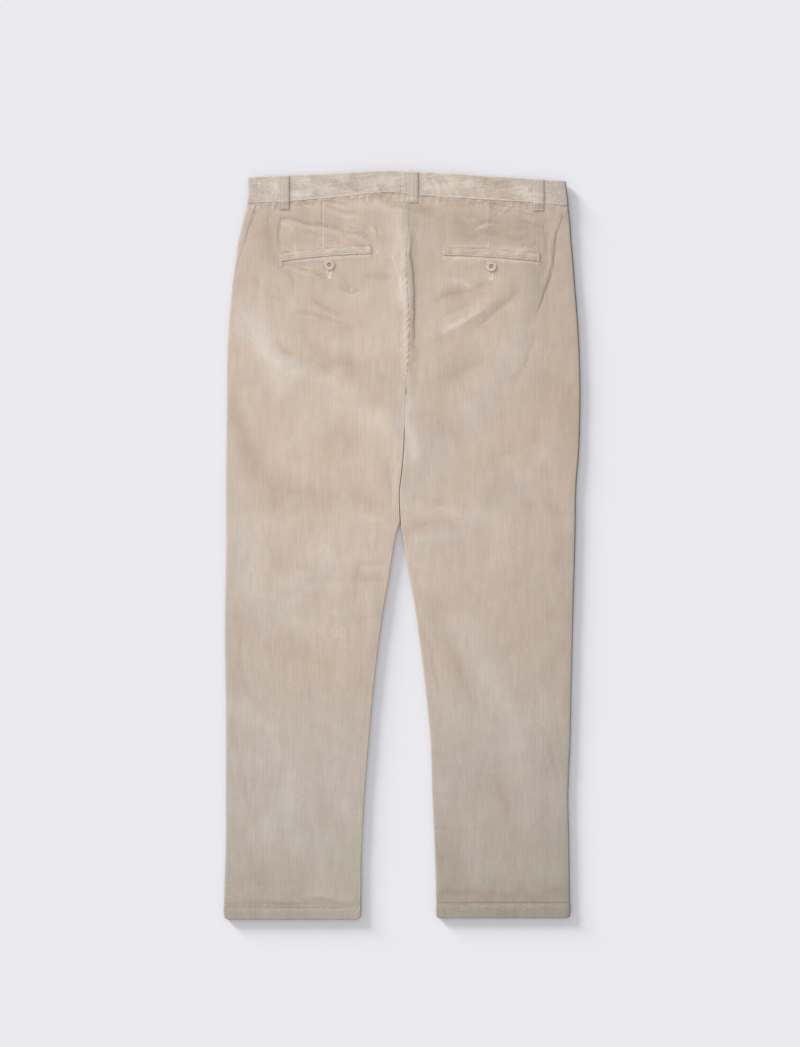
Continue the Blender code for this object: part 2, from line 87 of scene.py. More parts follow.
# Heights of the flattened legs, seat and waistband above the surface
LEG_HEIGHT = 5.6
FLY_RISE = 1.0
BAND_BOTTOM = 1.9
BAND_HEIGHT = 7.6
LAP_RISE = 1.9
BAND_STEP = 0.6
FRONT_STEP = 0.5

# Places along the length
WAIST_ROW = 480.0
HEM_ROW = -527.0
HEM_STITCH_ROW = -506.6
HEM_RISE = {"left": 0.0, "right": 2.2}
LEGS_PART = 33.0
INNER_ROUND = (0.75, 0.4)
INNER_ROUND_ROWS = (LEGS_PART - 30, LEGS_PART + 10)
CROTCH_ROWS = (140.0, 172.0)
FLY_RISE_ROWS = (215.0, 265.0)
SHIELD_LIFT_ROWS = (250.0, 290.0)
FLY_BEGIN_ROWS = (298.0, 310.0)
SEAM_FOLLOW_ROWS = (400.0, WAIST_ROW)
BACK_RISE_ROWS = (415.0, 475.0)
FRONT_RISE_ROWS = (428.0, 466.0)
FOLD_END_ROWS = (455.0, 478.0)
HEM_THICK_ROWS = (-509.0, -507.0)
HEM_SHADE_ROWS = (-498.0, -508.0)
HEM_RISE_ROWS = (HEM_ROW, -430.0)

# Where each change across the middle is complete and where it ends
BUMP_MIDDLE = 5.0
FLY_BUMP = (60.0, 115.0)
BAND_BUMP = (50.0, 115.0)
SHIELD_LIFT = (36.0, 84.0)
BAND_LIFT = (14.0, 42.0)
FLY_LAP = 6.0
BAND_LAP = 8.0
FLY_SHIELD = 38.0
BAND_BACK_SEAM = -1.5
BAND_LOW_ROW = 475.0
BAND_DEPTH = 42.0
BAND_FRONT_LEFT = 37.0
BAND_FRONT_RIGHT = 35.0
BAND_SIDES = (-218.0, 231.0)

LOOP_WIDTH = 15.5
LOOP_CLOTH = 1.25
LOOP_TAIL = 12.0
LOOP_SLACK = 0.6
LOOP_INSET = 0.6
LOOP_CATCH = 2.0
LOOP_LEAST = 0.25
WELT_HEIGHT = 11.0
WELT_CLOTH = 1.3
WELT_CLEARANCE = 0.1
WELT_LOWERED = 0.6
WELT_LEAST = 0.2
STRIP_WALES = 0.8
BUTTON_SUNK = 0.78
BUTTON_SIDES = 64

# Folded edges: how far in from its edge the cloth rolls away, and how deep
Roll = namedtuple("Roll", "width depth")
LEG_ROLL = Roll(1.8, 0.35)
SEAT_ROLL_LESS = 0.1
SIDE_ROLL = Roll(1.6, 0.25)
HEM_ROLL = Roll(2.6, 0.9)
WAIST_ROLL = Roll(1.5, 0.15)
BAND_LOW_ROLL = Roll(1.8, 0.35)
BAND_TOP_ROLL = Roll(2.4, 0.7)
BAND_END_ROLL = Roll(1.2, 0.2)
LOOP_ROLL = Roll(2.2, 0.9)
LOOP_END_ROLL = Roll(1.6, 0.7)
FRONT_LOOP_ROLL = Roll(2.0, 0.4)
WELT_ROLL = Roll(2.0, 0.45)
WELT_END_ROLL = Roll(1.8, 0.4)

# Where sewing presses the cloth in, where folded cloth stands full, where shade is painted along a welt's
# edges, and where seams and edges are worn
HEM_PRESSED = Swell(1.0, 0.6, 1.5)
HEM_TUGGED = Swell(1.0, 2.0, 3.0)
LOOP_PRESSED = (Swell(0.5, 2.6, 1.2), Swell(0.35, 3.0, 1.2))
LOOP_FULL = Swell(0.3, 0.0, 0.16)
LOOP_BENT = Swell(0.7, 0.0, 4.0)
WELT_PRESSED = (Swell(0.3, 1.9, 0.5), Swell(0.3, 2.2, 0.7))
WELT_FULL = Swell(0.2, -0.05, 0.3)
WELT_EDGE_SHADE = Swell(0.08, 0.0, 0.7)
WAIST_WEAR = Swell(0.9, -6.0, 9.0)
HEM_WEAR = Swell(0.8, -4.0, 6.0)
SIDE_WEAR = Swell(0.5, 0.0, 4.0)
INNER_WEAR = Swell(0.3, 0.0, 4.0)

# Sewing: the step from one thread to the next, and each thread's length, radius and height of its arch
Stitch = namedtuple("Stitch", "spacing length radius arch")
HEM_STITCH = Stitch(3.3, 2.5, 0.24, 0.16)
WELT_STITCH = Stitch(3.0, 2.2, 0.18, 0.05)
LOOP_STITCH = Stitch(3.0, 2.3, 0.2, 0.15)
FLY_STITCH = Stitch(3.2, 2.4, 0.2, 0.12)
WELT_TACK = Stitch(0.55, 1.7, 0.24, 0.2)
LOOP_TACK = Stitch(0.55, 1.9, 0.24, 0.1)
SIDE_TACK = Stitch(0.8, 2.2, 0.24, 0.2)
BUTTONHOLE_EDGE = Stitch(0.5, 2.3, 0.27, 0.35)
BUTTONHOLE_TACK = 0.55
BUTTON_BAR = Stitch(1.8, 2.2, 0.22, 0.35)
BUTTON_BARS = (-0.85, -0.5, -0.15, 0.15, 0.5, 0.85)
THREAD_STATIONS = 5
THREAD_SIDES = 6

SIDE = {"left": -1.0, "right": 1.0}

OUTER_EDGE = table(
    "y left right",
    (-527, -246.4, 234.6),
    (-525.5, -248.9, 236.2),
    (-522, -250.1, 237.0),
    (-500, -250.7, 237.1),
    (-460, -249.6, 236.5),
    (-415, -248.3, 235.8),
    (-359, -248.4, 234.4),
    (-274, -248.3, 237.6),
    (-204, -249.0, 239.0),
    (-133, -249.7, 240.6),
    (8, -248.3, 244.5),
    (92, -248.3, 246.4),
    (130, -248.0, 249.5),
    (173, -247.4, 251.2),
    (290, -245.5, 249.7),
    (346, -241.3, 245.8),
    (403, -234.2, 241.3),
    (431, -230.0, 238.8),
    (460, -222.5, 236.8),
    (475, -218.6, 235.0),
    (527, -216.8, 230.0),
)

INNER_EDGE = table(
    "y left right",
    (-527, -62.0, 50.4),
    (-525.5, -59.6, 49.2),
    (-521, -58.2, 48.6),
    (-508, -57.4, 48.3),
    (-444, -56.8, 46.8),
    (-359, -53.0, 43.0),
    (-274, -46.0, 40.0),
    (-218, -41.2, 35.0),
    (-133, -31.6, 24.6),
    (-77, -23.4, 16.6),
    (-49, -18.4, 11.0),
    (8, -9.2, 1.6),
    (22, -6.2, -0.8),
    (33, -2.45, -2.15),
)

CENTRE_LINE = table(
    "y x",
    (33, -2.3), (80, -3.2), (92, -1.6), (130, 2.1), (172, 3.8), (218, 5.6), (291, 10.6), (328, 9.9),
    (363, 7.8), (407, 6.2), (444, 9.6), (496, 12.0),
)

WAIST_LINES = table(
    "x back_top back_seam front_top",
    (-218, 518.0, 481.0, 518.0),
    (-131, 522.3, 486.2, 512.5),
    (-76, 524.7, 491.2, 509.5),
    (-22, 526.9, 496.4, 508.0),
    (23, 525.8, 492.2, 507.5),
    (69, 523.3, 489.1, 508.0),
    (123, 519.6, 485.9, 509.0),
    (178, 516.2, 482.9, 510.6),
    (231, 513.0, 478.0, 513.0),
)

SIDE_SEAM = table(
    "y left right",
    (-527, 0.0, 0.0),
    (-490, 0.0, 0.0),
    (-440, 0.0, 1.0),
    (280, 0.0, 1.0),
    (340, 0.3, 2.4),
    (372, 2.4, 2.6),
    (400, 6.0, 2.6),
    (428, 10.5, 2.6),
    (455, 13.2, 2.6),
    (496, 13.8, 2.6),
)

# Soft strokes along a route: a positive rise is a ridge, a negative one a trough. How many widths they reach,
# and the routes that several tables share
STROKE_REACH = 2.6
HIP_CREASE = ((227, 464), (217, 438), (214.5, 415), (213, 394), (208.5, 377))
SEAT_GROOVE = ((12.5, 410), (16, 384), (17.5, 356), (17.5, 330), (17, 290))

# The frame's own folds
FOLDS = strokes(
    (1.3, 15, (-223, 335), (-198, 287), (-168, 255), (-150, 239)),
    (-1.3, 13, (-143, 317), (-128, 280), (-99, 258), (-51, 250)),
    (-0.9, 12, (-172, 397), (-150, 372), (-124, 344), (-99, 328)),
    (-1.5, 13, (-236, 195), (-216, 147), (-193, 104), (-175, 60)),
    (1.1, 12, (-238, 150), (-232, 110), (-214, 64)),
    (-1.2, 14, (-175, 74), (-124, 71), (-65, 67), (-28, 53)),
    (0.9, 13, (-7, 459), (-7, 416), (0, 368), (-1, 324), (-3, 291)),
    (-1.3, 14, (-174, -46), (-131, -52), (-80, -50), (-34, -49)),
    (1, 13, (-83, -63), (-87, -120), (-85, -190)),
    (-1, 13, (-229, -122), (-224, -190), (-203, -224), (-178, -253)),
    (-1, 13, (-236, -253), (-222, -317), (-216, -359), (-203, -393)),
    (-1, 12, (26, 400), (28, 360), (27, 310), (24, 250)),
    (-1.3, 13, (64, 349), (96, 356), (121, 368)),
    (1.2, 13, (59, 305), (96, 328), (126, 346)),
    (-1.3, 13, (107, 310), (133, 328), (162, 356)),
    (-1.5, 12, (229, 466), (217, 438), (213, 401), (206, 372), (193, 338), (183, 317)),
    (-1.1, 13, (66, 232), (100, 250)),
    (-1.2, 13, (133, 122), (188, 145)),
    (1.1, 12, (169, 92), (206, 129)),
    (-1.4, 12, (12, 18), (41, 30), (73, 26)),
    (1, 12, (18, -2), (59, 6)),
    (-1.3, 13, (51, -97), (76, -164), (106, -224)),
    (1.3, 14, (76, -105), (110, -173), (144, -224), (169, -258), (178, -317)),
    (-0.9, 12, (135, -338), (152, -384)),
    (-0.9, 12, (97, -414), (123, -444)),
    (0.8, 12, (97, -469), (178, -446), (207, -458)),
)

# How much of the frame's folds the cloth shows, along the legs and in the seat
FOLD_SHARE = (0.45, 0.8)
FOLD_SHARE_ROWS = (40.0, 250.0)
CREASE_SHARE = 1.25
RELIEF_RANGE = (-1.0, 1.5)

# How drawn strokes wander: how far, over what length, and the seed of the first of their two ripples
Wander = namedtuple("Wander", "amount length seed")
CREASE_WANDER = Wander(1.3, 34.0, 3)
PILE_WANDER = Wander(5.0, 40.0, 5)
MARK_WANDER = Wander(0.9, 12.0, 7)
WARMTH_WANDER = Wander(6.0, 46.0, 19)
RIPPLE_COLUMNS = "amount across along length seed"
BACK_RIPPLES = table(RIPPLE_COLUMNS, (0.22, 1.0, 0.8, 46.0, 1), (0.09, 0.7, 1.0, 15.0, 2))
CORD_RIPPLES = table(RIPPLE_COLUMNS, (0.45, 1.0, 0.6, 52.0, 9), (0.25, 1.0, 0.5, 15.0, 10))
BAND_SMUDGES = table(RIPPLE_COLUMNS, (0.3, 1.0, 1.4, 24.0, 16), (0.22, 0.8, 1.6, 8.0, 18))
WELT_SMUDGES = table(RIPPLE_COLUMNS, (0.35, 1.0, 0.8, 13.0, 15), (0.2, 1.0, 1.0, 5.0, 22))
LOOP_RIPPLES = table(RIPPLE_COLUMNS, (0.1, 1.0, 1.0, 12.0, 13))
WELT_RIPPLES = table(RIPPLE_COLUMNS, (0.7, 1.0, 0.3, 16.0, 14))
MOUTH_RIPPLES = table(RIPPLE_COLUMNS, (0.6, 1.0, 0.2, 16.0, 17))
WARMTH_RIPPLES = table(RIPPLE_COLUMNS, (0.2, 1.0, 1.0, 26.0, 21))
RIPPLE_WAVES = 10
RIPPLE_SPREAD = (0.7, 1.8)
RIPPLE_LEVEL = 4.0

# Puckers of the seat seam and gathers below the waist seam
PUCKER_BEGIN = (226, 270)
PUCKER_WEAKEN = (350, 400)
PUCKER_END = (418, 462)
PUCKER_LENGTH = 9.6
PUCKER_SLANT = 1.2
GATHER_LENGTH = 13.0
GATHER_HEIGHT = 0.3
GATHER_MIDDLE = 3.0
GATHER_REACH = 7.0

# Finer creases of the back
CREASES = strokes(
    (-1, 2.6, (-173, 461), (-155, 458.5), (-131, 452), (-109, 449.4), (-92, 447), (-82, 440)),
    (0.7, 3.6, (-168, 454), (-150, 450), (-131, 445.5), (-108, 442), (-88, 437)),
    (-0.8, 2.4, (-78, 442), (-62, 440), (-54, 435), (-44, 427)),
    (0.5, 3, (-76, 436), (-63, 434), (-54, 428)),
    (-0.8, 2.2, (-171, 459), (-171, 436), (-171, 418)),
    (-0.8, 2.4, (-106, 477), (-96, 474), (-87, 470), (-74, 466), (-58, 466)),
    (0.6, 2.6, (-104, 471), (-92, 466), (-78, 461), (-62, 460)),
    (-0.7, 2.2, (-110, 486), (-98, 483), (-88, 480), (-74, 477)),
    (0.5, 2.2, (-100, 479), (-88, 475), (-76, 471)),
    (-0.6, 2.2, (-146, 484), (-136, 481), (-122, 479)),
    (-0.5, 2.6, (-134, 442), (-122, 438), (-112, 434)),
    (-0.5, 2.4, (-60, 452), (-48, 446), (-38, 448)),
    (0.5, 2.4, (-78, 456), (-66, 450), (-52, 452)),
    (-0.6, 2.2, (-36, 452), (-32, 438), (-25, 425)),
    (-0.6, 2.4, (-28, 414), (-20, 408), (-13, 396), (-6, 376)),
    (-0.6, 2.6, (-30, 488), (-14, 478), (2, 474)),
    (0.5, 2.6, (-40, 482), (-22, 472), (-2, 468)),
    (-0.9, 5, (-42, 491), (-16, 485), (9, 473)),
    (0.5, 5, (-60, 478), (-28, 472), (-4, 462)),
    (-0.8, 4, (-166, 395), (-147, 392), (-125, 386), (-107, 377)),
    (-0.7, 4, (-170, 397), (-156, 383), (-149, 366)),
    (-0.9, 5, (-51, 379), (-37, 377), (-13, 374)),
    (-0.6, 6, (-76, 361), (-70, 360)),
    (0.6, 3.5, (-32, 413), (-15, 406), (-2, 374), (3, 348)),
    (-0.6, 3.5, (-205, 470), (-201, 462)),
    (-0.6, 3, (-190, 479), (-184, 464)),
    (-0.5, 3, (-178, 478), (-176, 468)),
    (-0.65, 1.6, *HIP_CREASE, (202, 360), (189, 322)),
    (0.35, 4, (224, 455), (221, 425), (219, 396), (214, 371), (207, 350)),
    (-0.5, 3, (203, 460), (201, 440), (207, 412)),
    (-0.8, 2.2, (106, 448), (116, 453), (126, 456), (142, 452)),
    (0.6, 2.4, (104, 444), (114, 448), (124, 451)),
    (-0.8, 2, (118, 440), (126, 437), (136, 435)),
    (0.6, 2.2, (128, 470), (140, 467), (148, 474)),
    (-0.7, 2.2, (126, 476), (134, 470), (148, 468), (156, 476)),
    (-0.6, 2.4, (160, 478), (172, 470), (186, 462)),
    (0.5, 2.4, (154, 474), (168, 464), (184, 456)),
    (-0.6, 2.4, (172, 456), (186, 450), (200, 448)),
    (-0.5, 2.4, (206, 474), (214, 468), (222, 464)),
    (-0.6, 2.2, (186, 426), (192, 418), (196, 408)),
    (-0.7, 2.4, (-168, 398), (-150, 392), (-130, 386), (-112, 378)),
    (0.5, 2.4, (-166, 392), (-148, 386), (-130, 380)),
    (-0.5, 2, (-196, 476), (-190, 464), (-188, 452)),
    (-0.5, 2, (-206, 474), (-204, 462)),
    (-0.5, 2.2, (-66, 424), (-56, 420), (-48, 412)),
    (-0.5, 2.2, (84, 436), (96, 430), (108, 432)),
    (0.5, 2.2, (150, 440), (164, 436), (176, 440)),
    (-0.5, 2.2, (148, 432), (164, 428), (178, 432)),
    (-0.4, 2, (40, 462), (52, 458), (62, 462)),
    (-0.6, 2, (196, 400), (202, 394), (206, 386)),
    (0.4, 2.4, (142, 400), (150, 394), (160, 396)),
    (-0.5, 2.2, (56, 408), (66, 403), (78, 407)),
    (-0.7, 3, (170, 423), (178, 421), (185, 416)),
    (0.5, 3.5, (152, 418), (166, 417), (176, 412)),
    (-0.6, 3.5, (127, 481), (146, 476), (152, 470)),
    (-0.5, 4, (60, 478), (84, 474), (100, 478)),
    (-0.5, 5, (23, 471), (19, 440), (18, 400), (21, 350), (19, 310), (17, 262)),
    (-0.6, 1.8, (14, 436), *SEAT_GROOVE),
    (-0.6, 4, (50, 345), (70, 352), (96, 357), (121, 369)),
    (-0.6, 4, (107, 310), (125, 320), (145, 340), (162, 357)),
    (0.5, 4, (60, 300), (90, 318), (120, 336)),
    (-0.5, 4, (55, 322), (80, 330), (100, 340)),
    (-0.25, 5, (66, 232), (84, 240), (103, 252)),
    (-0.6, 5, (160, 232), (178, 262), (186, 300)),
    (-0.2, 4, (-143, 320), (-136, 296), (-118, 272), (-92, 257), (-48, 250)),
    (-0.8, 2.6, (-128, 344), (-112, 336), (-88, 324)),
    (-0.7, 2.4, (-146, 329), (-122, 324), (-98, 316)),
    (-0.7, 2.6, (-86, 364), (-78, 356), (-70, 354), (-61, 359)),
    (0.5, 3, (-122, 334), (-96, 321), (-70, 314)),
    (-0.4, 3, (-132, 265), (-107, 246), (-88, 232)),
    (-0.4, 3, (-179, 292), (-166, 272), (-154, 266)),
    (-0.5, 4, (-205, 372), (-186, 352), (-160, 338)),
    (-0.6, 4.5, (-226, 322), (-206, 278), (-182, 248), (-160, 229)),
    (-0.25, 5, (-237, 196), (-222, 160), (-204, 124), (-184, 84), (-172, 56)),
    (-0.15, 4, (-176, 75), (-140, 71), (-104, 72)),
    (-0.15, 4, (-78, 69), (-50, 64), (-26, 52)),
    (-0.5, 4, (-20, 120), (-14, 84), (-7, 60)),
    (-0.15, 4, (-176, -44), (-150, -51), (-128, -52)),
    (-0.25, 3.5, (-106, -49), (-74, -52), (-34, -46)),
    (-0.5, 4, (-63, -29), (-62, -54), (-64, -80)),
    (-0.5, 4, (-63, -110), (-46, -102), (-29, -97)),
    (-0.5, 2.6, (-60, -22), (-44, -28), (-26, -24)),
    (0.5, 2.6, (-58, -30), (-42, -36), (-26, -34)),
    (-0.5, 2.6, (-62, -42), (-48, -50), (-28, -48)),
    (-0.4, 2.8, (-98, -84), (-88, -90), (-76, -86)),
    (0.4, 2.8, (-98, -94), (-86, -100), (-74, -98)),
    (-0.4, 2.8, (-100, -106), (-88, -112), (-76, -110)),
    (0.4, 2.8, (-98, -124), (-86, -130), (-76, -126)),
    (-0.4, 2.8, (-100, -142), (-88, -150), (-78, -148)),
    (0.4, 5, (-200, -70), (-160, -80), (-128, -78)),
    (-0.5, 4.5, (-229, -122), (-227, -170), (-212, -214), (-186, -246)),
    (-0.4, 5, (-150, -150), (-120, -168), (-96, -176)),
    (-0.4, 5, (-110, -262), (-84, -282), (-62, -290)),
    (-0.5, 5, (-238, -252), (-226, -300), (-217, -356), (-204, -390)),
    (-0.4, 5, (-140, -366), (-126, -404), (-122, -438)),
    (-0.4, 3.5, (4, 16), (22, 25), (41, 30), (62, 29), (75, 25)),
    (0.25, 4, (12, 4), (34, 12), (60, 12)),
    (-0.5, 3.5, (12, -28), (24, -56), (41, -82)),
    (-0.5, 3.5, (25, -104), (41, -146), (54, -206)),
    (-0.5, 4, (8, 60), (30, 66), (56, 60)),
    (-0.5, 4, (93, -59), (108, -78), (124, -97)),
    (-0.25, 5, (70, -150), (92, -196), (108, -226)),
    (-0.2, 4, (120, 116), (150, 128), (190, 147)),
    (-0.4, 4, (204, 60), (222, 44), (238, 40)),
    (-0.5, 3.5, (41, -292), (52, -298), (62, -300)),
    (-0.5, 3.5, (44, -352), (54, -356), (66, -354)),
    (-0.4, 3.5, (47, -396), (58, -400), (66, -398)),
    (-0.4, 4, (135, -338), (146, -362), (153, -386)),
    (-0.4, 4, (200, -260), (214, -300), (222, -340)),
    (-0.4, 5, (89, -488), (140, -480), (195, -481), (232, -484)),
    (-0.4, 4, (-230, -470), (-190, -478), (-150, -474)),
    (0.3, 4, (-120, -490), (-92, -484), (-70, -486)),
)

# Shallow creases of the hidden front, each lifted from the surface it lies on
FRONT_CREASES = strokes(
    (0.5, 9, (-226, 420), (-190, 380), (-150, 356)),
    (0.5, 9, (226, 410), (196, 376), (150, 350)),
    (0.5, 8, (8, 292), (44, 318), (88, 336)),
    (0.5, 8, (0, 286), (-40, 306), (-86, 318)),
    (0.4, 8, (-4, 240), (-52, 250), (-112, 244)),
    (0.4, 8, (10, 236), (60, 252), (120, 250)),
    (0.4, 9, (-230, 90), (-180, 60), (-120, 54)),
    (0.4, 9, (230, 70), (180, 40), (110, 44)),
    (0.5, 8, (-190, -70), (-130, -84), (-66, -76)),
    (0.5, 8, (60, -80), (120, -92), (190, -76)),
    (0.4, 8, (-220, -210), (-180, -240), (-130, -246)),
    (0.4, 8, (210, -220), (170, -250), (116, -262)),
    (0.4, 9, (-100, -380), (-130, -420), (-140, -460)),
    (0.4, 9, (90, -390), (120, -430), (134, -466)),
)

# Sewn shapes of the back
DARTS = (
    ((-112, 487), (-112, 455), (-112, 422)),
    ((126, 485), (123, 450), (120.5, 420)),
)
DART_RIDGE = (0.4, 5.0)
DART_GROOVE = (-0.45, 1.2)
DART_WEAR = (0.8, 4.0)
HOLE_WEAR = (0.8, 9.0)

Welt = namedtuple("Welt", "x_start y_start x_middle y_middle x_end y_end")
WELTS = {
    "left": Welt(-170.5, 405.5, -113.0, 412.0, -42.5, 416.0),
    "right": Welt(58.5, 414.0, 126.0, 411.0, 194.0, 405.2),
}

Buttonhole = namedtuple("Buttonhole", "x top bottom")
BUTTONHOLES = {
    "left": Buttonhole(-102.4, 398.5, 378.0),
    "right": Buttonhole(125.4, 397.0, 375.5),
}
SLIT = (-0.25, 0.7)
WELT_BED = (Swell(0.35, 0.0, 8.0), Swell(0.65, 8.6, 2.4))
MOUTH = Swell(0.9, 6.7, 1.6)
# The painted shadow above a welt's upper edge: its share of light, where it lies and its width
MOUTH_SHADE = Swell(0.11, 6.1, 0.8)
POCKET_BUTTONS = {"left": (-102.3, 395.0), "right": (125.6, 393.0)}

Loop = namedtuple("Loop", "node x")
BACK_LOOPS = (
    Loop("belt_loop_back_left", -166.5),
    Loop("belt_loop_back_centre", 15.0),
    Loop("belt_loop_back_right", 192.0),
)
FRONT_LOOPS = (
    Loop("belt_loop_front_left", -118.0),
    Loop("belt_loop_front_right", 134.0),
)
POCKET_TACK = (-210.5, 457.0)

# Along a belt loop, how far above the waist seam each place lies and its share of the slack
LOOP_STATIONS = table(
    "above slack",
    (-9.0, 0.0), (-3.5, 0.1), (-0.8, 0.2), (3.0, 0.6), (12.0, 1.0), (22.0, 0.8),
)

# Where the pile is paler (a positive strength) or darker and warmer (a negative one): brushed and flattened
# nap, and painted light and shade along the frame's folds and the seat seam
NAP_AND_FOLD_LIGHT = strokes(
    (0.7, 22, (-212, 316), (-196, 286), (-182, 252), (-170, 230)),
    (0.1, 14, (-236, 300), (-238, 250), (-238, 210)),
    (-0.4, 12, (-124, 268), (-96, 257), (-60, 251)),
    (-0.4, 7, (-168, 282), (-158, 272)),
    (-0.35, 7, (-32, 240), (-28, 232)),
    (0.25, 9, (-221, 303), (-196, 276), (-176, 252), (-150, 246), (-110, 232), (-70, 214)),
    (0.3, 6, (61, 307), (82, 320), (110, 338), (130, 349)),
    (-0.3, 7, (66, 348), (84, 353), (116, 355)),
    (-0.15, 20, (-64, 232), (-34, 226), (-16, 250)),
    (-0.25, 14, (-238, 182), (-226, 150), (-212, 120)),
    (-0.3, 19, (-204, 98), (-150, 76), (-100, 68), (-46, 62)),
    (0.3, 14, (-50, 192), (-22, 162), (-6, 132)),
    (0.12, 24, (-222, 88), (-214, 40), (-210, -10), (-216, -60)),
    (0.35, 22, (-90, 200), (-60, 186), (-30, 172)),
    (0.3, 24, (-150, 190), (-130, 150)),
    (0.35, 18, (-130, -10), (-90, -18), (-50, -14)),
    (0.45, 10, (-186, -34), (-172, -46), (-130, -53), (-80, -50)),
    (0.25, 26, (-200, -70), (-150, -100), (-90, -120)),
    (-0.25, 16, (-218, 60), (-180, 56), (-120, 50)),
    (-0.3, 22, (-224, 170), (-216, 140), (-206, 110)),
    (0.35, 22, (-230, -230), (-206, -250), (-180, -240)),
    (-0.12, 20, (-200, -130), (-160, -150), (-110, -160)),
    (-0.3, 12, (-242, -160), (-232, -220), (-214, -300), (-208, -380)),
    (0.35, 22, (-216, -300), (-206, -350), (-200, -400)),
    (0.12, 18, (-74, -260), (-70, -330), (-76, -400)),
    (0.3, 26, (-170, -300), (-150, -360), (-140, -420)),
    (0.6, 6, (8, 204), (10, 165), (13, 126)),
    (-0.2, 10, (16, 110), (14, 78)),
    (0.4, 5, (-7, 112), (-9, 84), (-10, 52)),
    (-0.15, 24, (54, 250), (64, 200), (60, 150)),
    (0.2, 22, (176, 322), (158, 290), (142, 252), (120, 226)),
    (0.35, 20, (82, 206), (104, 180), (120, 152)),
    (-0.1, 20, (196, 250), (206, 200), (196, 160)),
    (0.12, 24, (108, 128), (150, 112), (186, 104)),
    (-0.2, 14, (56, 96), (100, 74), (140, 70)),
    (0.3, 16, (56, 34), (100, 40), (140, 30)),
    (-0.3, 14, (228, 260), (232, 190), (230, 110)),
    (0.32, 22, (84, -110), (114, -160), (144, -220), (160, -300)),
    (-0.15, 12, (48, -84), (62, -130), (78, -190), (92, -240)),
    (0.15, 20, (50, -150), (66, -210), (78, -280)),
    (0.2, 16, (160, -290), (170, -350), (176, -440)),
    (-0.25, 12, (226, 0), (226, -100), (224, -220)),
    (-0.55, 7, (52, -492), (140, -492), (232, -490)),
    (-0.45, 18, (60, -380), (66, -440), (76, -490)),
    (-0.25, 22, (-212, -420), (-208, -460), (-204, -500)),
    (-0.2, 20, (-118, 160), (-100, 150), (-84, 152)),
    (0.6, 11, (-5, 464), (-5, 420), (-4, 380), (-2, 344)),
    (-0.25, 14, (-150, 466), (-120, 456), (-84, 448), (-56, 446)),
    (-0.4, 14, (-192, 456), (-188, 430), (-190, 408)),
    (-0.45, 22, (60, 462), (100, 448), (150, 446), (186, 452)),
    (-0.7, 9, (16, 480), (24, 474), (36, 470)),
    (-0.45, 5, (15, 474), (14, 420), (15, 360), (17, 300), (14, 232)),
    (-0.4, 18, (200, 420), (196, 390), (190, 360)),
    (0.35, 14, (60, 372), (90, 366), (130, 384)),
    (-0.25, 12, (-188, 440), (-186, 420), (-184, 404)),
    (-0.2, 12, (-140, 376), (-100, 368), (-50, 372)),
    (-0.35, 20, (-120, 330), (-96, 314), (-70, 310)),
    (0.3, 26, (-60, 300), (-40, 280)),
)
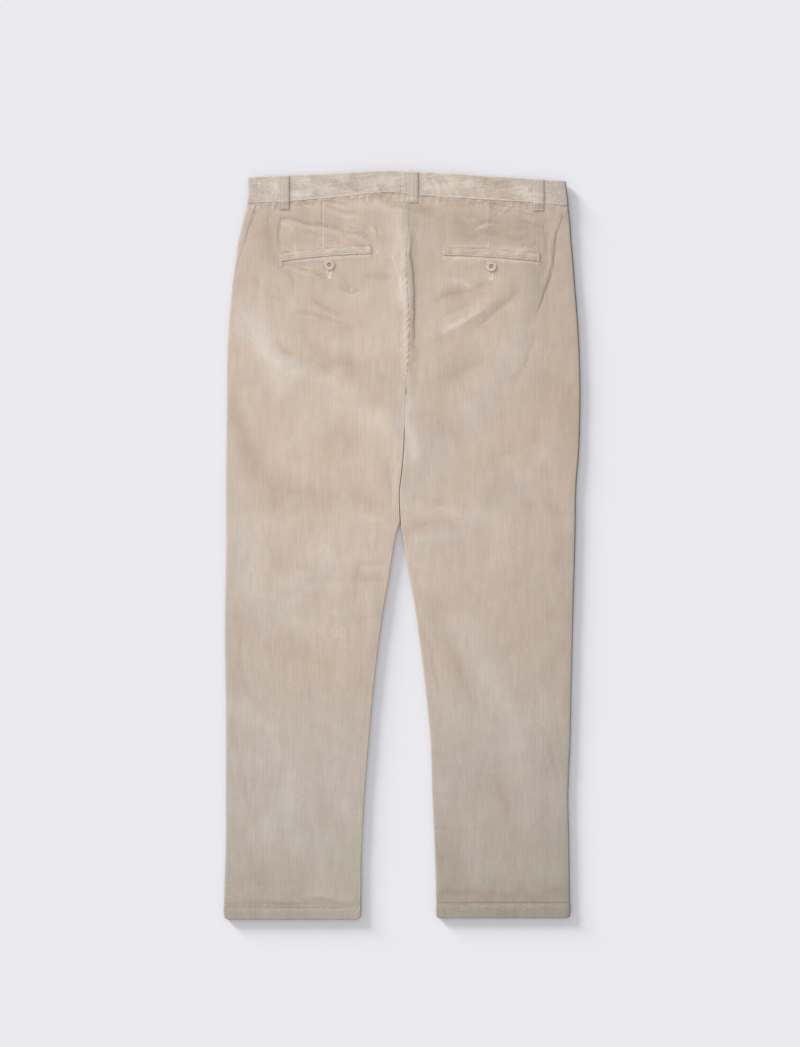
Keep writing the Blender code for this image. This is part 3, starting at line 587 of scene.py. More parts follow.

# Thin pale and dark marks: worn pile along seams and darts, painted shade in creases, grooves and seam lines,
# and painted highlight beside seams and the welts
MARKS = strokes(
    (0.7, 4, (3, 420), (0, 390), (2, 352), (4, 320), (4, 280), (3, 236)),
    (-0.4, 2.2, (14, 434), *SEAT_GROOVE),
    (-0.5, 2, (5, 222), (6, 214)),
    (0.8, 1.4, (-205, 483), (-131, 487.8), (-76, 492.8), (-22, 498)),
    (0.9, 1.4, (23, 493.8), (69, 490.7), (123, 487.5), (178, 484.5), (228, 479.6)),
    (-0.6, 2.2, (-205, 478), (-132, 482), (-76, 487), (-22, 492)),
    (-0.6, 2.2, (30, 488), (69, 485), (123, 482), (178, 478), (228, 474)),
    (0.6, 1.2, (-111, 486), (-111, 470)),
    (0.5, 1.2, (-111.5, 462), (-111.5, 450)),
    (0.3, 1.2, (-112, 444), (-112, 424)),
    (0.6, 1.2, (122.5, 452), (120.5, 420)),
    (0.9, 1.6, (40, 520), (44, 512), (50, 508), (52, 496)),
    (0.8, 1.6, (40, 508), (44, 498)),
    (0.8, 1.6, (58, 512), (60, 500)),
    (0.5, 6, (92, 516), (90, 496)),
    (0.9, 1.4, (182, 510), (175, 500), (173, 488)),
    (1.5, 2.8, (-102.4, 392), (-101.4, 377)),
    (1.5, 2.8, (125.4, 390), (126.2, 375)),
    (0.9, 2.4, (178, 496), (190, 494), (200, 492)),
    (0.8, 2, (180, 488), (196, 486)),
    (1, 1.6, (60, 418), (62, 408), (59, 402)),
    (0.7, 1.8, (-172, 410), (-170, 396)),
    (0.7, 1.6, (-178, 514), (-176, 500), (-177, 488)),
    (0.6, 1.6, (-200, 512), (-202, 492)),
    (0.9, 1.6, (-40, 508), (-34, 500), (-30, 494)),
    (-0.6, 3, (-76, 508), (-66, 500), (-56, 502)),
    (-0.6, 4, (-96, 514), (-88, 504)),
    (0.8, 2, (-80, 447), (-70, 442), (-58, 446)),
    (0.8, 2, (-48, 452), (-38, 438)),
    (0.7, 2.2, (-168, 452), (-152, 446)),
    (0.6, 2, (-152, 424), (-150, 414), (-160, 410)),
    (0.7, 2, (84, 462), (92, 456), (104, 458)),
    (0.7, 1.8, (104, 445), (114, 449), (120, 455)),
    (0.7, 1.8, (136, 482), (150, 482), (166, 478)),
    (0.7, 1.8, (150, 416), (168, 416), (178, 424)),
    (-0.6, 1.5, *HIP_CREASE, (203, 360), (190, 328)),
    (0.6, 4, (215, 458), (209, 424), (206, 396), (198, 368)),
    (0.4, 3, (60, 300), (90, 318), (120, 336)),
    (0.5, 3, (64, 376), (84, 372), (104, 360)),
    (0.5, 3, (62, 312), (76, 306), (92, 318)),
    (0.2, 3, (20, 8), (40, 12), (66, 14)),
    (0.4, 4, (30, 44), (52, 52), (80, 44)),
    (0.4, 4, (-60, 40), (-30, 36), (-14, 20)),
    (0.3, 4, (-176, -34), (-130, -40), (-84, -38)),
    (0.3, 4, (-50, -60), (-44, -110), (-54, -160)),
    (0.7, 2.6, (-170, 397), (-150, 395), (-124, 390)),
    (0.5, 3, (64, 404), (90, 402), (112, 400)),
    (-0.6, 2.6, (-224, -498), (-190, -502), (-150, -506)),
    (-0.6, 2.4, (-142, -499), (-112, -499), (-92, -503)),
    (0.5, 3, (-150, -494), (-110, -492), (-70, -496)),
    (0.4, 2.4, (-250, -512.5), (-58, -512.5)),
    (-0.7, 2, (48, -503), (238, -503)),
    (0.5, 2, (48, -507), (238, -507)),
    (1, 4.2, (-156, 494.5), (-142, 495), (-128, 496)),
    (0.5, 6, (-40, 514), (-10, 512)),
    (-0.4, 7, (-90, 508), (-54, 514)),
    (0.5, 6, (40, 508), (60, 504), (96, 506)),
    (-0.4, 6, (110, 512), (150, 508)),
    (0.7, 6, (168, 506), (176, 494), (184, 488)),
    (-0.4, 6, (-210, 510), (-196, 496)),
    (0.4, 6, (-184, 512), (-180, 494)),
    (0.9, 4, (10, 488), (18, 488)),
    (0.7, 2.2, (-171, 397.5), (-140, 401.5), (-113, 404), (-80, 406.5), (-43, 408)),
    (0.9, 2.4, (59, 406), (92, 405.2), (126, 403.5), (160, 400.5), (194, 397)),
    (0.6, 2, (-168, 413.5), (-113, 420), (-44, 424)),
    (0.8, 2.2, (60, 422), (126, 419.5), (192, 413)),
)
# Painted light on the creases and folds: paler on their ridges, darker in their troughs
CREASE_PAINTED_LIGHT = 0.4
FOLD_PAINTED_LIGHT = 0.1
DARKEST_PAINTED_SHADE = 0.3

# Painted shadow lines along seams, edges and creases: each rise is the share of light it takes
SHADOWS = strokes(
    (0.26, 0.9, *HIP_CREASE, (202, 360), (192, 334)),
    (0.05, 1.1, (-205, 480), (-132, 484.5), (-76, 489.5), (-38, 493.5)),
    (0.20, 1.3, (-44, 493), (-22, 495), (4, 493.5)),
    (0.06, 1.1, (30, 490), (69, 487), (123, 484), (150, 482.5)),
    (0.20, 1.3, (138, 483.5), (178, 480.8), (184, 480.4)),
    (0.14, 1.3, (-171, 459), (-171, 420)),
    (0.16, 2, (-206, 480), (-212, 462), (-217, 446), (-222, 425)),
    (0.14, 0.8, (-101.6, 389), (-101.0, 378)),
    (0.10, 0.8, (125.7, 387), (125.7, 376)),
    (0.17, 1, (-247, -507.4), (-196, -508.0), (-150, -508.8), (-110, -508.6), (-60, -507.4)),
    (0.10, 1, (49, -504.6), (140, -504.2), (238, -503.6)),
    (0.14, 1.3, (-173, 461.5), (-155, 459), (-131, 452.5), (-109, 450), (-92, 447.5), (-82, 440.5)),
    (0.12, 1.3, (-78, 442), (-62, 440), (-54, 435), (-44, 427)),
    (0.12, 0.8, (-158.3, 522), (-158.3, 474)),
    (0.10, 0.8, (23.2, 526), (23.2, 482)),
    (0.12, 0.8, (200.2, 516), (200.2, 470)),
    (0.32, 1.1, (14, 434), *SEAT_GROOVE),
    (0.40, 1, (5.2, 222), (5.6, 213)),
    (0.15, 1, (-112, 486), (-113.5, 470), (-113.5, 452)),
    (0.16, 1, (127.5, 484), (125, 456), (122, 436)),
)

# Where the colour is warmer (positive) or greyer than the cloth's own
WARMTH = strokes(
    (-0.75, 14, (-224, 326), (-192, 286), (-160, 256), (-136, 246)),
    (-0.35, 24, (-222, 236), (-170, 228)),
    (-0.5, 24, (26, 178), (44, 140), (34, 96)),
    (-0.4, 14, (-172, 482), (-140, 478)),
    (0.6, 17, (54, 506), (160, 503)),
    (0.45, 34, (90, -400), (150, -340), (160, -430)),
    (-0.25, 30, (-226, 20), (-224, -80), (-222, -240)),
    (-0.5, 7, (-22, -60), (-36, -130), (-44, -210)),
    (-0.7, 13, (-244, 150), (-236, 90), (-226, 20), (-226, -60)),
    (-0.5, 8, (-246, 300), (-248, 240), (-248, 160)),
    (-0.7, 12, (-98, -17), (-134, -53), (-192, -111)),
    (-0.8, 10, (12, 484), (14, 420), (17, 360), (18, 290)),
    (-0.8, 10, (6, 230), (3, 170), (0, 100), (0, 34)),
    (-0.75, 16, (192, 372), (176, 308), (154, 257), (104, 185), (46, 134), (18, 78)),
    (-0.7, 12, (198, 120), (150, 72), (111, 34), (60, 14), (10, 4)),
    (-0.35, 15, (82, -111), (118, -168), (140, -212)),
    (-0.5, 8, (240, 440), (248, 340), (250, 240)),
    (-0.5, 9, (240, 60), (238, -60), (236, -200)),
    (-0.6, 7, (-170, 406), (-120, 411), (-50, 416)),
    (-0.35, 7, (62, 413), (126, 410), (190, 405)),
    (-0.5, 5, (61, 307), (82, 320), (110, 338)),
    (0.35, 50, (-170, 140), (-110, 110), (-50, 90)),
    (0.5, 24, (130, 150), (170, 168), (222, 196)),
    (0.25, 30, (-140, 330), (-90, 310), (-50, 270)),
    (0.3, 36, (70, 440), (110, 380), (100, 280)),
    (0.4, 30, (70, -60), (120, -80), (176, -120)),
    (0.4, 26, (-152, -160), (-104, -172), (-84, -150)),
    (0.5, 10, (62, -498), (140, -498), (222, -498)),
    (-0.15, 24, (-190, -330), (-150, -380), (-120, -430)),
)
WARMTH_ROWS = table(
    "y share",
    (-500, -0.35), (-430, -0.70), (-300, -0.70), (-180, 0.0), (-60, 0.05), (60, 0.35), (500, 0.35),
)
BAND_WARMTH = (-0.4, -0.45)
BAND_WARMTH_RISE = (12.0, 40.0)
EDGE_WARMTH = Swell(-1.0, 0.0, 4.5)

# How crisp the cords are, less over the thighs, and where they are brushed flat
CRISP = 0.56
SOFTER_THIGHS = Swell(0.32, 150.0, 210.0)
CRISP_RANGE = (0.1, 1.0)
CORD_MEAN = 0.62
LINING_CORD = 0.6
CORD_SHARE = (0.44, 0.5)
SMOOTHED = strokes(
    (0.8, 20, (34, 440), (36, 380), (36, 310), (28, 240), (30, 160)),
    (0.5, 34, (-60, 320), (-70, 260), (-90, 200)),
    (0.5, 26, (180, 330), (190, 280)),
    (0.4, 30, (-160, 130), (-90, 110)),
    (0.4, 30, (100, -200), (110, -320)),
    (0.4, 26, (-120, -300), (-110, -380)),
)

# Painted shade: how brightness falls along the legs, across to the right, at the right edge, where a painted
# shadow line runs, and on the hems
LIGHT_ROWS = table(
    "y share",
    (-500, 0.735), (-472, 0.760), (-415, 0.815), (-331, 0.850), (-246, 0.876), (-162, 0.892),
    (-77, 0.912), (8, 0.950), (92, 0.962), (163, 0.945), (233, 0.950), (304, 0.955), (374, 0.940),
    (445, 0.930), (470, 0.938), (495, 0.968), (520, 0.976),
)
RIGHT_PAINTED_SHADE = 0.10
RIGHT_PAINTED_SHADE_REACH = (-60.0, 230.0)
EDGE_SHADOW_LINE = Swell(0.72, 0.0, 1.9)
EDGE_SHADOW_LINE_LESS = 0.65
EDGE_SHADOW_LINE_ROWS = (0.0, -200.0)
EDGE_SHADE = Swell(0.10, 0.0, 9.0)
HEM_SHADE = {"left": 0.07, "right": 0.13}

# Grids: rows of the panels as bands of one spacing, and how much coarser the hidden front is
ROW_BANDS = table(
    "start end spacing",
    (-527, -524, 0.75),
    (-524, -509, 3.0),
    (-509, -502, 0.9),
    (-502, -60, 5.2),
    (-60, 40, 4.0),
    (40, 215, 4.4),
    (215, 470, 2.5),
    (470, 480, 1.4),
)
FRONT_COARSER = 1.9
POINTS_A_WALE = 4
LINING_EVERY = 3
LINING_COLUMNS = (5, 16, 8)
LINING_BEND = 0.4
BAND_WALES = 13
BAND_COLUMNS = 100
BAND_WRAP = 14
LOOP_WALES = 5
BACK_LOOP_ROWS = 44
FRONT_LOOP_ROWS = 24
WELT_WALES = 4
WELT_COLUMNS = 90
SHARP_ANGLE = math.radians(72)

# The floor: half its side and how far it lies below the trousers, in metres
FLOOR_REACH = 30.0
FLOOR_DROP = 0.0003


def curve(rows, column, at, known="y"):
    """A smooth line through a table's rows: cubic pieces whose slopes come from the rows on either side."""
    places = np.array([getattr(row, known) for row in rows], float)
    values = np.array([getattr(row, column) for row in rows], float)
    slopes = np.gradient(values, places)
    at = np.clip(at, places[0], places[-1])
    piece = np.clip(np.searchsorted(places, at) - 1, 0, len(places) - 2)
    span = places[piece + 1] - places[piece]
    t = (at - places[piece]) / span
    return (
        (1 + 2 * t) * (1 - t) ** 2 * values[piece]
        + t * (1 - t) ** 2 * span * slopes[piece]
        + t**2 * (3 - 2 * t) * values[piece + 1]
        + t**2 * (t - 1) * span * slopes[piece + 1]
    )


def ease(at, start, end):
    """0 at start and 1 at end, level at both: 3t squared less 2t cubed."""
    t = np.clip((at - start) / (end - start), 0.0, 1.0)
    return t * t * (3 - 2 * t)


def bell(at, width):
    """1 at 0, falling as the exponential of minus (at over width) squared."""
    return np.exp(-((at / width) ** 2))


def swell(at, height, middle, width):
    """A bell of this height and width round its middle."""
    return height * bell(at - middle, width)


def stroke_sum(drawn, x, y, taper=0.0):
    """All strokes together: each is a bell across its route, and taper thins it towards its two ends."""
    total = np.zeros(np.broadcast(x, y).shape)
    x, y = np.broadcast_arrays(x, y)
    for stroke in drawn:
        route = np.array(stroke.route, float)
        reach = STROKE_REACH * stroke.width
        low, high = route.min(axis=0) - reach, route.max(axis=0) + reach
        near = (x > low[0]) & (x < high[0]) & (y > low[1]) & (y < high[1])
        px, py = x[near], y[near]
        nearest = np.full(px.shape, np.inf)
        share = np.zeros(px.shape)
        lengths = np.hypot(*np.diff(route, axis=0).T)
        begun = np.concatenate([[0.0], np.cumsum(lengths)])
        for number, (start, end) in enumerate(zip(route[:-1], route[1:])):
            along = end - start
            t = ((px - start[0]) * along[0] + (py - start[1]) * along[1]) / (along @ along)
            t = np.clip(t, 0.0, 1.0)
            away = np.hypot(px - start[0] - t * along[0], py - start[1] - t * along[1])
            closer = away < nearest
            nearest = np.where(closer, away, nearest)
            share = np.where(closer, (begun[number] + t * lengths[number]) / begun[-1], share)
        thinned = 1.0 - taper * (2 * share - 1) ** 4
        total[near] += stroke.rise * thinned * bell(nearest, stroke.width)
    return total


def ripple(x, y, length, seed):
    """Gentle unevenness between about -1 and 1: a sum of ten sine waves in seeded directions."""
    draw = np.random.default_rng(seed)
    total = np.zeros(np.broadcast(x, y).shape)
    for _ in range(RIPPLE_WAVES):
        heading = draw.uniform(0, math.pi)
        wave = 2 * math.pi / (length * draw.uniform(*RIPPLE_SPREAD))
        shift = draw.uniform(0, 2 * math.pi)
        total += np.sin(wave * (x * math.cos(heading) + y * math.sin(heading)) + shift)
    return total / RIPPLE_LEVEL


def ripples(x, y, rows, start=0.0):
    """A start and ripples on it, each with its amount and with x and y drawn in or out."""
    total = start
    for row in rows:
        total = total + row.amount * ripple(x * row.across, y * row.along, row.length, row.seed)
    return total


def wander(x, y, amount, length, seed):
    """x and y, each shifted by its own gentle ripple."""
    return x + amount * ripple(x, y, length, seed), y + amount * ripple(x, y, length, seed + 1)


def middle_bump(x, reach):
    """1 over the middle of the trousers, where the fly makes them thicker, and 0 past its reach."""
    return 1.0 - ease(np.abs(x - BUMP_MIDDLE), *reach)


def band_top(x):
    """Height of the waistband's outer face on the back."""
    return BAND_HEIGHT + LAP_RISE * middle_bump(x, BAND_BUMP)


def seat_seam_puckers(x, y):
    """A ridge of herringbone puckers along the seat seam: a sine along it, within a bell across it."""
    away = x - curve(CENTRE_LINE, "x", y)
    along = y + PUCKER_SLANT * np.abs(away)
    turns = along / PUCKER_LENGTH + 0.35 * np.sin(along / 19.0) + 0.2 * np.sin(along / 6.3)
    strength = ease(y, *PUCKER_BEGIN) * (1.0 - 0.6 * ease(y, *PUCKER_WEAKEN)) * (1.0 - ease(y, *PUCKER_END))
    irregular = 1.0 + 0.5 * np.sin(along / 13.0) * np.sin(along / 31.0)
    waves = irregular * np.sin(2 * math.pi * turns)
    across = 0.35 * bell(away, 5.0) + 0.38 * waves * bell(away, 4.2) + 0.15 * waves * bell(away, 10.0)
    return strength * across


def waist_gathers(x, y):
    """Small gathers below the waist seam: a sine along it that dies away within 12 mm."""
    below = seam_line(x, True) - y
    turns = x / GATHER_LENGTH + 0.4 * np.sin(x / 31.0) + 0.2 * np.sin(x / 9.0)
    return GATHER_HEIGHT * np.sin(2 * math.pi * turns) * bell(below - GATHER_MIDDLE, GATHER_REACH)


def along_welt(welt, x, outside, inside):
    """1 along a welt and 0 past its ends, changing from so far outside each end to so far inside it."""
    begun = ease(x, welt.x_start - outside, welt.x_start + inside)
    return begun * (1 - ease(x, welt.x_end - inside, welt.x_end + outside))


def fine_relief(x, y):
    """The finer creases, darts, buttonhole slits, puckers and unevenness of the back."""
    total = CREASE_SHARE * stroke_sum(CREASES, *wander(x, y, *CREASE_WANDER), taper=0.7)
    for dart in DARTS:
        total += stroke_sum((Stroke(*DART_RIDGE, dart), Stroke(*DART_GROOVE, dart)), x, y)
    for hole in BUTTONHOLES.values():
        total += stroke_sum((Stroke(*SLIT, ((hole.x, hole.top), (hole.x, hole.bottom))),), x, y)
    for side, welt in WELTS.items():
        beside = y - welt_middle(side, x)
        bed = swell(beside, *WELT_BED[0]) + swell(np.abs(beside), *WELT_BED[1])
        total += along_welt(welt, x, 3, 3) * (bed - swell(beside, *MOUTH))
    total += seat_seam_puckers(x, y) + waist_gathers(x, y)
    total += ripples(x, y, BACK_RIPPLES)
    return np.clip(total, *RELIEF_RANGE)


def back_relief(x, y):
    """The frame's folds and the finer relief on them."""
    return fold_relief(x, y) + fine_relief(x, y)


def fold_relief(x, y):
    """The frame's folds alone, softened; they end at the waistband."""
    share = FOLD_SHARE[0] + (FOLD_SHARE[1] - FOLD_SHARE[0]) * ease(y, *FOLD_SHARE_ROWS)
    return share * stroke_sum(FOLDS, x, y) * (1.0 - ease(y, *FOLD_END_ROWS))


def back_top(x, y, relief=None):
    """Height of the back panels' outer face."""
    seat = LEG_HEIGHT + FLY_RISE * middle_bump(x, FLY_BUMP) * ease(y, *FLY_RISE_ROWS)
    seat = seat + (band_top(x) - BAND_STEP - seat) * ease(y, *BACK_RISE_ROWS)
    return seat if relief is None else seat + relief(x, y)


def front_bottom(y):
    """Height of the front panels' outer face: on the surface, and up to the waistband near the waist."""
    return (BAND_BOTTOM + FRONT_STEP) * ease(y, *FRONT_RISE_ROWS)


def front_reach(side, y):
    """How far past the centre line a front panel's edge lies, towards +X."""
    return {"left": FLY_LAP, "right": -FLY_SHIELD}[side] * ease(y, *FLY_BEGIN_ROWS)


def fly_shield_lift(x, y):
    """How far the right front is raised where it passes over the left one."""
    edge = curve(CENTRE_LINE, "x", y) + front_reach("left", y)
    return (CLOTH + GAP) * (1.0 - ease(x - edge, *SHIELD_LIFT)) * ease(y, *SHIELD_LIFT_ROWS)


def outer_edge(side, y):
    """Distance of a half's outer edge from x = 0."""
    return SIDE[side] * curve(OUTER_EDGE, side, y)


def crotch_share(y):
    """0 where the halves meet flat along the seat seam, 1 where each leg is a tube of its own."""
    return 1.0 - ease(y, *CROTCH_ROWS)


def inner_edge(side, face, y):
    """Where a half ends towards the middle, measured outwards from x = 0."""
    touching = crotch_share(y) * GAP / 2 * SIDE[side]
    edge = np.where(y < LEGS_PART, curve(INNER_EDGE, side, y), curve(CENTRE_LINE, "x", y) + touching)
    if face == "front":
        edge = edge + front_reach(side, y)
    return SIDE[side] * edge


def waist_line(title, x):
    """One of the waist's lines: the back's top or seam, or the front's top."""
    return curve(WAIST_LINES, title, x, "x")


def seam_line(x, back):
    """The waist seam of the back, or of the front where back is false."""
    depth = np.interp(x, BAND_SIDES, (BAND_FRONT_LEFT, BAND_FRONT_RIGHT))
    return np.where(back, waist_line("back_seam", x), waist_line("front_top", x) - depth)


Tube = namedtuple("Tube", "bottom edge radius quarter share flat_end end_reach end_round origin")


def tube(side, face, row):
    """The flattened tube of one half at each row.

    origin is the grain coordinate of its outermost line, unrolled so that it equals x on the flat part.
    """
    bottom = front_bottom(row)
    edge = outer_edge(side, row)
    radius = (back_top(SIDE[side] * edge, row) - bottom) / 2
    quarter = math.pi / 2 * radius
    share = crotch_share(row)
    apart, touching = INNER_ROUND
    end_reach = radius * (apart + (touching - apart) * ease(row, *INNER_ROUND_ROWS))
    flat_end = quarter + edge - inner_edge(side, face, row) - radius - end_reach
    end_round = end_reach + share * (math.pi / 4 * (radius + end_reach) - end_reach)
    return Tube(bottom, edge, radius, quarter, share, flat_end, end_reach, end_round, edge - radius + quarter)


def panel_surface(face, side, around, row, relief):
    """The outer face of one half as a flattened tube.

    around runs from the outermost line (0) over the back (+) or under the front (-), along the surface. The
    section is a half circle at its outer edge, flat between, and a quarter ellipse on each face at a leg's
    inner edge, which opens to a flat end above the crotch. The relief is added to the upper face.
    """
    t = tube(side, face, row)
    middle = t.bottom + t.radius
    distance = np.abs(around)
    angle = np.clip(around / t.radius, -math.pi / 2, math.pi / 2)
    turn = (distance - t.flat_end) / t.end_round
    past = np.clip(turn, 0.0, None)
    last = t.end_reach * ((1 - t.share) * past + t.share * np.sin(math.pi / 2 * past))
    out = t.edge - t.radius * (1 - np.cos(angle))
    out = out - np.clip(distance - t.quarter, 0.0, t.flat_end - t.quarter) - np.where(turn > 0, last, 0.0)
    x = SIDE[side] * out
    y = row + (seam_line(x, around > 0) - WAIST_ROW) * ease(row, *SEAM_FOLLOW_ROWS)
    y = y + HEM_RISE[side] * (1.0 - ease(row, *HEM_RISE_ROWS))
    level = np.sin(angle) * (1 - t.share * (1 - np.cos(math.pi / 2 * past)))
    upper = back_top(x, y, relief)
    lower = t.bottom + stroke_sum(FRONT_CREASES, x, y, taper=0.6)
    if face == "front" and side == "right":
        lower = lower + fly_shield_lift(x, y)
    z = middle + np.where(level > 0, level * (upper - middle), level * (middle - lower))
    return np.stack(np.broadcast_arrays(x, y, z), axis=-1)


def band_surface(side, around, up):
    """The waistband's outer face: around as on the panels, and up from its seam (0) to its top (1)."""
    edge = outer_edge(side, BAND_LOW_ROW + BAND_DEPTH * up)
    radius = (BAND_HEIGHT - BAND_BOTTOM) / 2
    quarter = math.pi / 2 * radius
    angle = np.clip(around / radius, -math.pi / 2, math.pi / 2)
    out = edge - radius * (1 - np.cos(angle)) - np.clip(np.abs(around) - quarter, 0.0, None)
    x = SIDE[side] * out
    back = around > 0
    low = seam_line(x, back)
    high = np.where(back, waist_line("back_top", x), waist_line("front_top", x))
    middle = BAND_BOTTOM + radius
    lower = BAND_BOTTOM * np.ones_like(x)
    if side == "right":
        lap_edge = curve(CENTRE_LINE, "x", WAIST_ROW) + BAND_LAP
        lower = lower + (BAND_CLOTH + GAP) * (1.0 - ease(x - lap_edge, *BAND_LIFT))
    sine = np.sin(angle)
    z = middle + np.where(back, sine * (band_top(x) - middle), sine * (middle - lower))
    return np.stack([x, low + (high - low) * up, z], axis=-1)


def outward(side, surface, around, along):
    """Unit normals in the plane of a section, pointing out of the tube, from a small step around it."""
    step = 0.05
    run = surface(side, around + step, along) - surface(side, around - step, along)
    normal = np.stack([run[..., 2], np.zeros(run.shape[:-1]), -run[..., 0]], axis=-1) * SIDE[side]
    return normal / np.linalg.norm(normal, axis=-1, keepdims=True)


def wale_height(across, pitch):
    """A cord's rounded section, 0 in the groove and 1 on the crest: the phase's sine to the power 0.8."""
    return np.abs(np.sin(math.pi * across / pitch)) ** 0.8


def roll_off(distance, width, depth):
    """How far cloth has rolled away at a distance from its folded edge: a quarter of an ellipse."""
    t = np.clip(1.0 - distance / width, 0.0, 1.0)
    return depth * (1.0 - np.sqrt(1.0 - t * t))


def nap_and_fold_light(x, y):
    """Broad strokes that wander a little: brushed and flattened pile, and painted light and shade along the
    folds.
    """
    return stroke_sum(NAP_AND_FOLD_LIGHT, *wander(x, y, *PILE_WANDER), taper=0.3)


def marked_tone(x, y):
    """The back's thin marks, and painted light on its creases and folds: painted highlight on their ridges
    and painted shade in their troughs.
    """
    total = stroke_sum(MARKS, *wander(x, y, *MARK_WANDER), taper=0.6)
    total += CREASE_PAINTED_LIGHT * stroke_sum(CREASES, *wander(x, y, *CREASE_WANDER))
    return total + FOLD_PAINTED_LIGHT * stroke_sum(FOLDS, x, y)


def fade(x, y, seen):
    """Painted shade: less brightness towards the hems, waist and right, a painted shadow line at the right
    edge, and painted shadow lines along seams, creases and the welts' gaps.
    """
    total = curve(LIGHT_ROWS, "share", y) - RIGHT_PAINTED_SHADE * ease(x, *RIGHT_PAINTED_SHADE_REACH)
    hem_shade = np.where(x < 0, HEM_SHADE["left"], HEM_SHADE["right"])
    total = total * (1.0 - hem_shade * ease(y, *HEM_SHADE_ROWS))
    edge = outer_edge("right", y) - x
    line = swell(edge, *EDGE_SHADOW_LINE) * (1.0 - EDGE_SHADOW_LINE_LESS * ease(y, *EDGE_SHADOW_LINE_ROWS))
    total = total * (1.0 - line) * (1.0 - swell(edge, *EDGE_SHADE))
    # Painted shadows along seams, creases and edges, and in the thin gaps above the welts
    pressed = (stroke_sum(SHADOWS, x, y, taper=0.5) + welt_gap_shadows(x, y)) * seen
    return total * np.clip(1.0 - pressed, DARKEST_PAINTED_SHADE, 1.0)


def seam_wear(x, y):
    """Where seams and edges have worn the pile: near the waist seam, darts, welts and the hip's crease."""
    total = swell(y - seam_line(x, True), *WAIST_WEAR)
    for side, welt in WELTS.items():
        total = total + 0.9 * along_welt(welt, x, 14, 0) * bell(y - welt_middle(side, x) + 1.0, 12.0)
    for dart in DARTS:
        total = total + stroke_sum((Stroke(*DART_WEAR, dart),), x, y)
    for hole in BUTTONHOLES.values():
        worked = Stroke(*HOLE_WEAR, ((hole.x, hole.top), (hole.x, hole.bottom - 4)))
        total = total + stroke_sum((worked,), x, y)
    creased = np.abs(stroke_sum(CREASES, x, y)) * ease(y, 200.0, 260.0)
    return np.clip(total + 0.9 * creased + 0.3 * ease(y, 0.0, -120.0), 0.15, 1.0)


def welt_gap_shadows(x, y):
    """The painted shadow in the thin gap above each welt: the share of light it takes, more in some places
    than in others.
    """
    total = 0.0
    for side, welt in WELTS.items():
        beside = y - welt_middle(side, x)
        worked = ripples(x, y, MOUTH_RIPPLES, 1.0)
        total = total + along_welt(welt, x, 1, 1) * worked * swell(beside, *MOUTH_SHADE)
    return total


def cord_wear(x, y):
    """How well the cords stand out: 1 where they are crisp, near 0 where the pile is brushed over them."""
    crisp = ripples(x, y, CORD_RIPPLES, CRISP - swell(y, *SOFTER_THIGHS))
    return np.clip(crisp - stroke_sum(SMOOTHED, x, y, taper=0.3), *CRISP_RANGE)


def soften(height, crisp):
    """The cords' height with less contrast about their mean where they are less crisp."""
    return CORD_MEAN + (height - CORD_MEAN) * crisp


def colour_warmth(x, y):
    """How much warmer or greyer the colour is: by the row, the band's own greyness, and broad strokes."""
    above = y - seam_line(x, True)
    band = BAND_WARMTH[0] + BAND_WARMTH[1] * ease(above, *BAND_WARMTH_RISE)
    total = curve(WARMTH_ROWS, "share", y)
    total = ripples(x, y, WARMTH_RIPPLES, total + (band - total) * ease(above, -2.0, 2.0))
    total = total + stroke_sum(WARMTH, *wander(x, y, *WARMTH_WANDER), taper=0.3)
    edge = np.minimum(outer_edge("right", y) - x, outer_edge("left", y) + x)
    return total + swell(edge, *EDGE_WARMTH)


def cloth_shades(points, height, seen=1.0, worn=0.0):
    """The attributes that the cloth's finish reads. The hidden front's colours mirror the back's."""
    x, y = points[..., 0], points[..., 1]
    # pile carries the nap and worn marks, and also painted light and shade on folds, creases and seams
    pile, warmth = (nap_and_fold_light(x, y) + marked_tone(x, y)) * seen, colour_warmth(x, y) * seen
    if np.min(seen) < 1.0:
        pile = pile + nap_and_fold_light(-x, y) * (1.0 - seen)
        warmth = warmth + colour_warmth(-x, y) * (1.0 - seen)
    return {
        "warmth": warmth.ravel(),
        "cord": np.broadcast_to(height, x.shape).ravel(),
        "pile": pile.ravel(),
        "worn": np.broadcast_to(worn, x.shape).ravel(),
        "fade": fade(x, y, seen).ravel(),
    }


def grid_quads(ids):
    """The quads of a grid of point numbers, counter-clockwise where columns run right and rows run up."""
    corners = (ids[:-1, :-1], ids[:-1, 1:], ids[1:, 1:], ids[1:, :-1])
    return np.stack(corners, axis=-1).reshape(-1, 4)


def make_piece(name, points, faces, cut, shades, material):
    """One mesh object at the origin, from points in millimetres; cut is each point's place on the cloth."""
    mesh = bpy.data.meshes.new(name)
    mesh.from_pydata((points * MM).tolist(), [], faces)
    mesh.shade_smooth()
    mesh.set_sharp_from_angle(angle=SHARP_ANGLE)
    if cut is not None:
        corners = np.empty(len(mesh.loops), np.int32)
        mesh.loops.foreach_get("vertex_index", corners)
        layer = mesh.uv_layers.new(name="cut")
        layer.uv.foreach_set("vector", (cut * MM).astype(np.float32)[corners].ravel())
    for title, values in shades.items():
        attribute = mesh.attributes.new(title, "FLOAT", "POINT")
        attribute.data.foreach_set("value", np.ascontiguousarray(values, np.float32))
    mesh.materials.append(material)
    piece = bpy.data.objects.new(name, mesh)
    bpy.context.scene.collection.objects.link(piece)
    return piece


def rim_faces(outer, inner, marks, forward):
    """Faces that join a fine edge of points to a coarse one, whose points stand at the marks."""
    faces = []
    for number in range(len(inner) - 1):
        fine = outer[marks[number] : marks[number + 1] + 1].tolist()
        face = [*fine, int(inner[number + 1]), int(inner[number])]
        faces.append(face if forward else face[::-1])
    return faces


def both_faces(values):
    """The same values for the outer and the inner face of a closed sheet."""
    return np.tile(values.ravel(), 2)


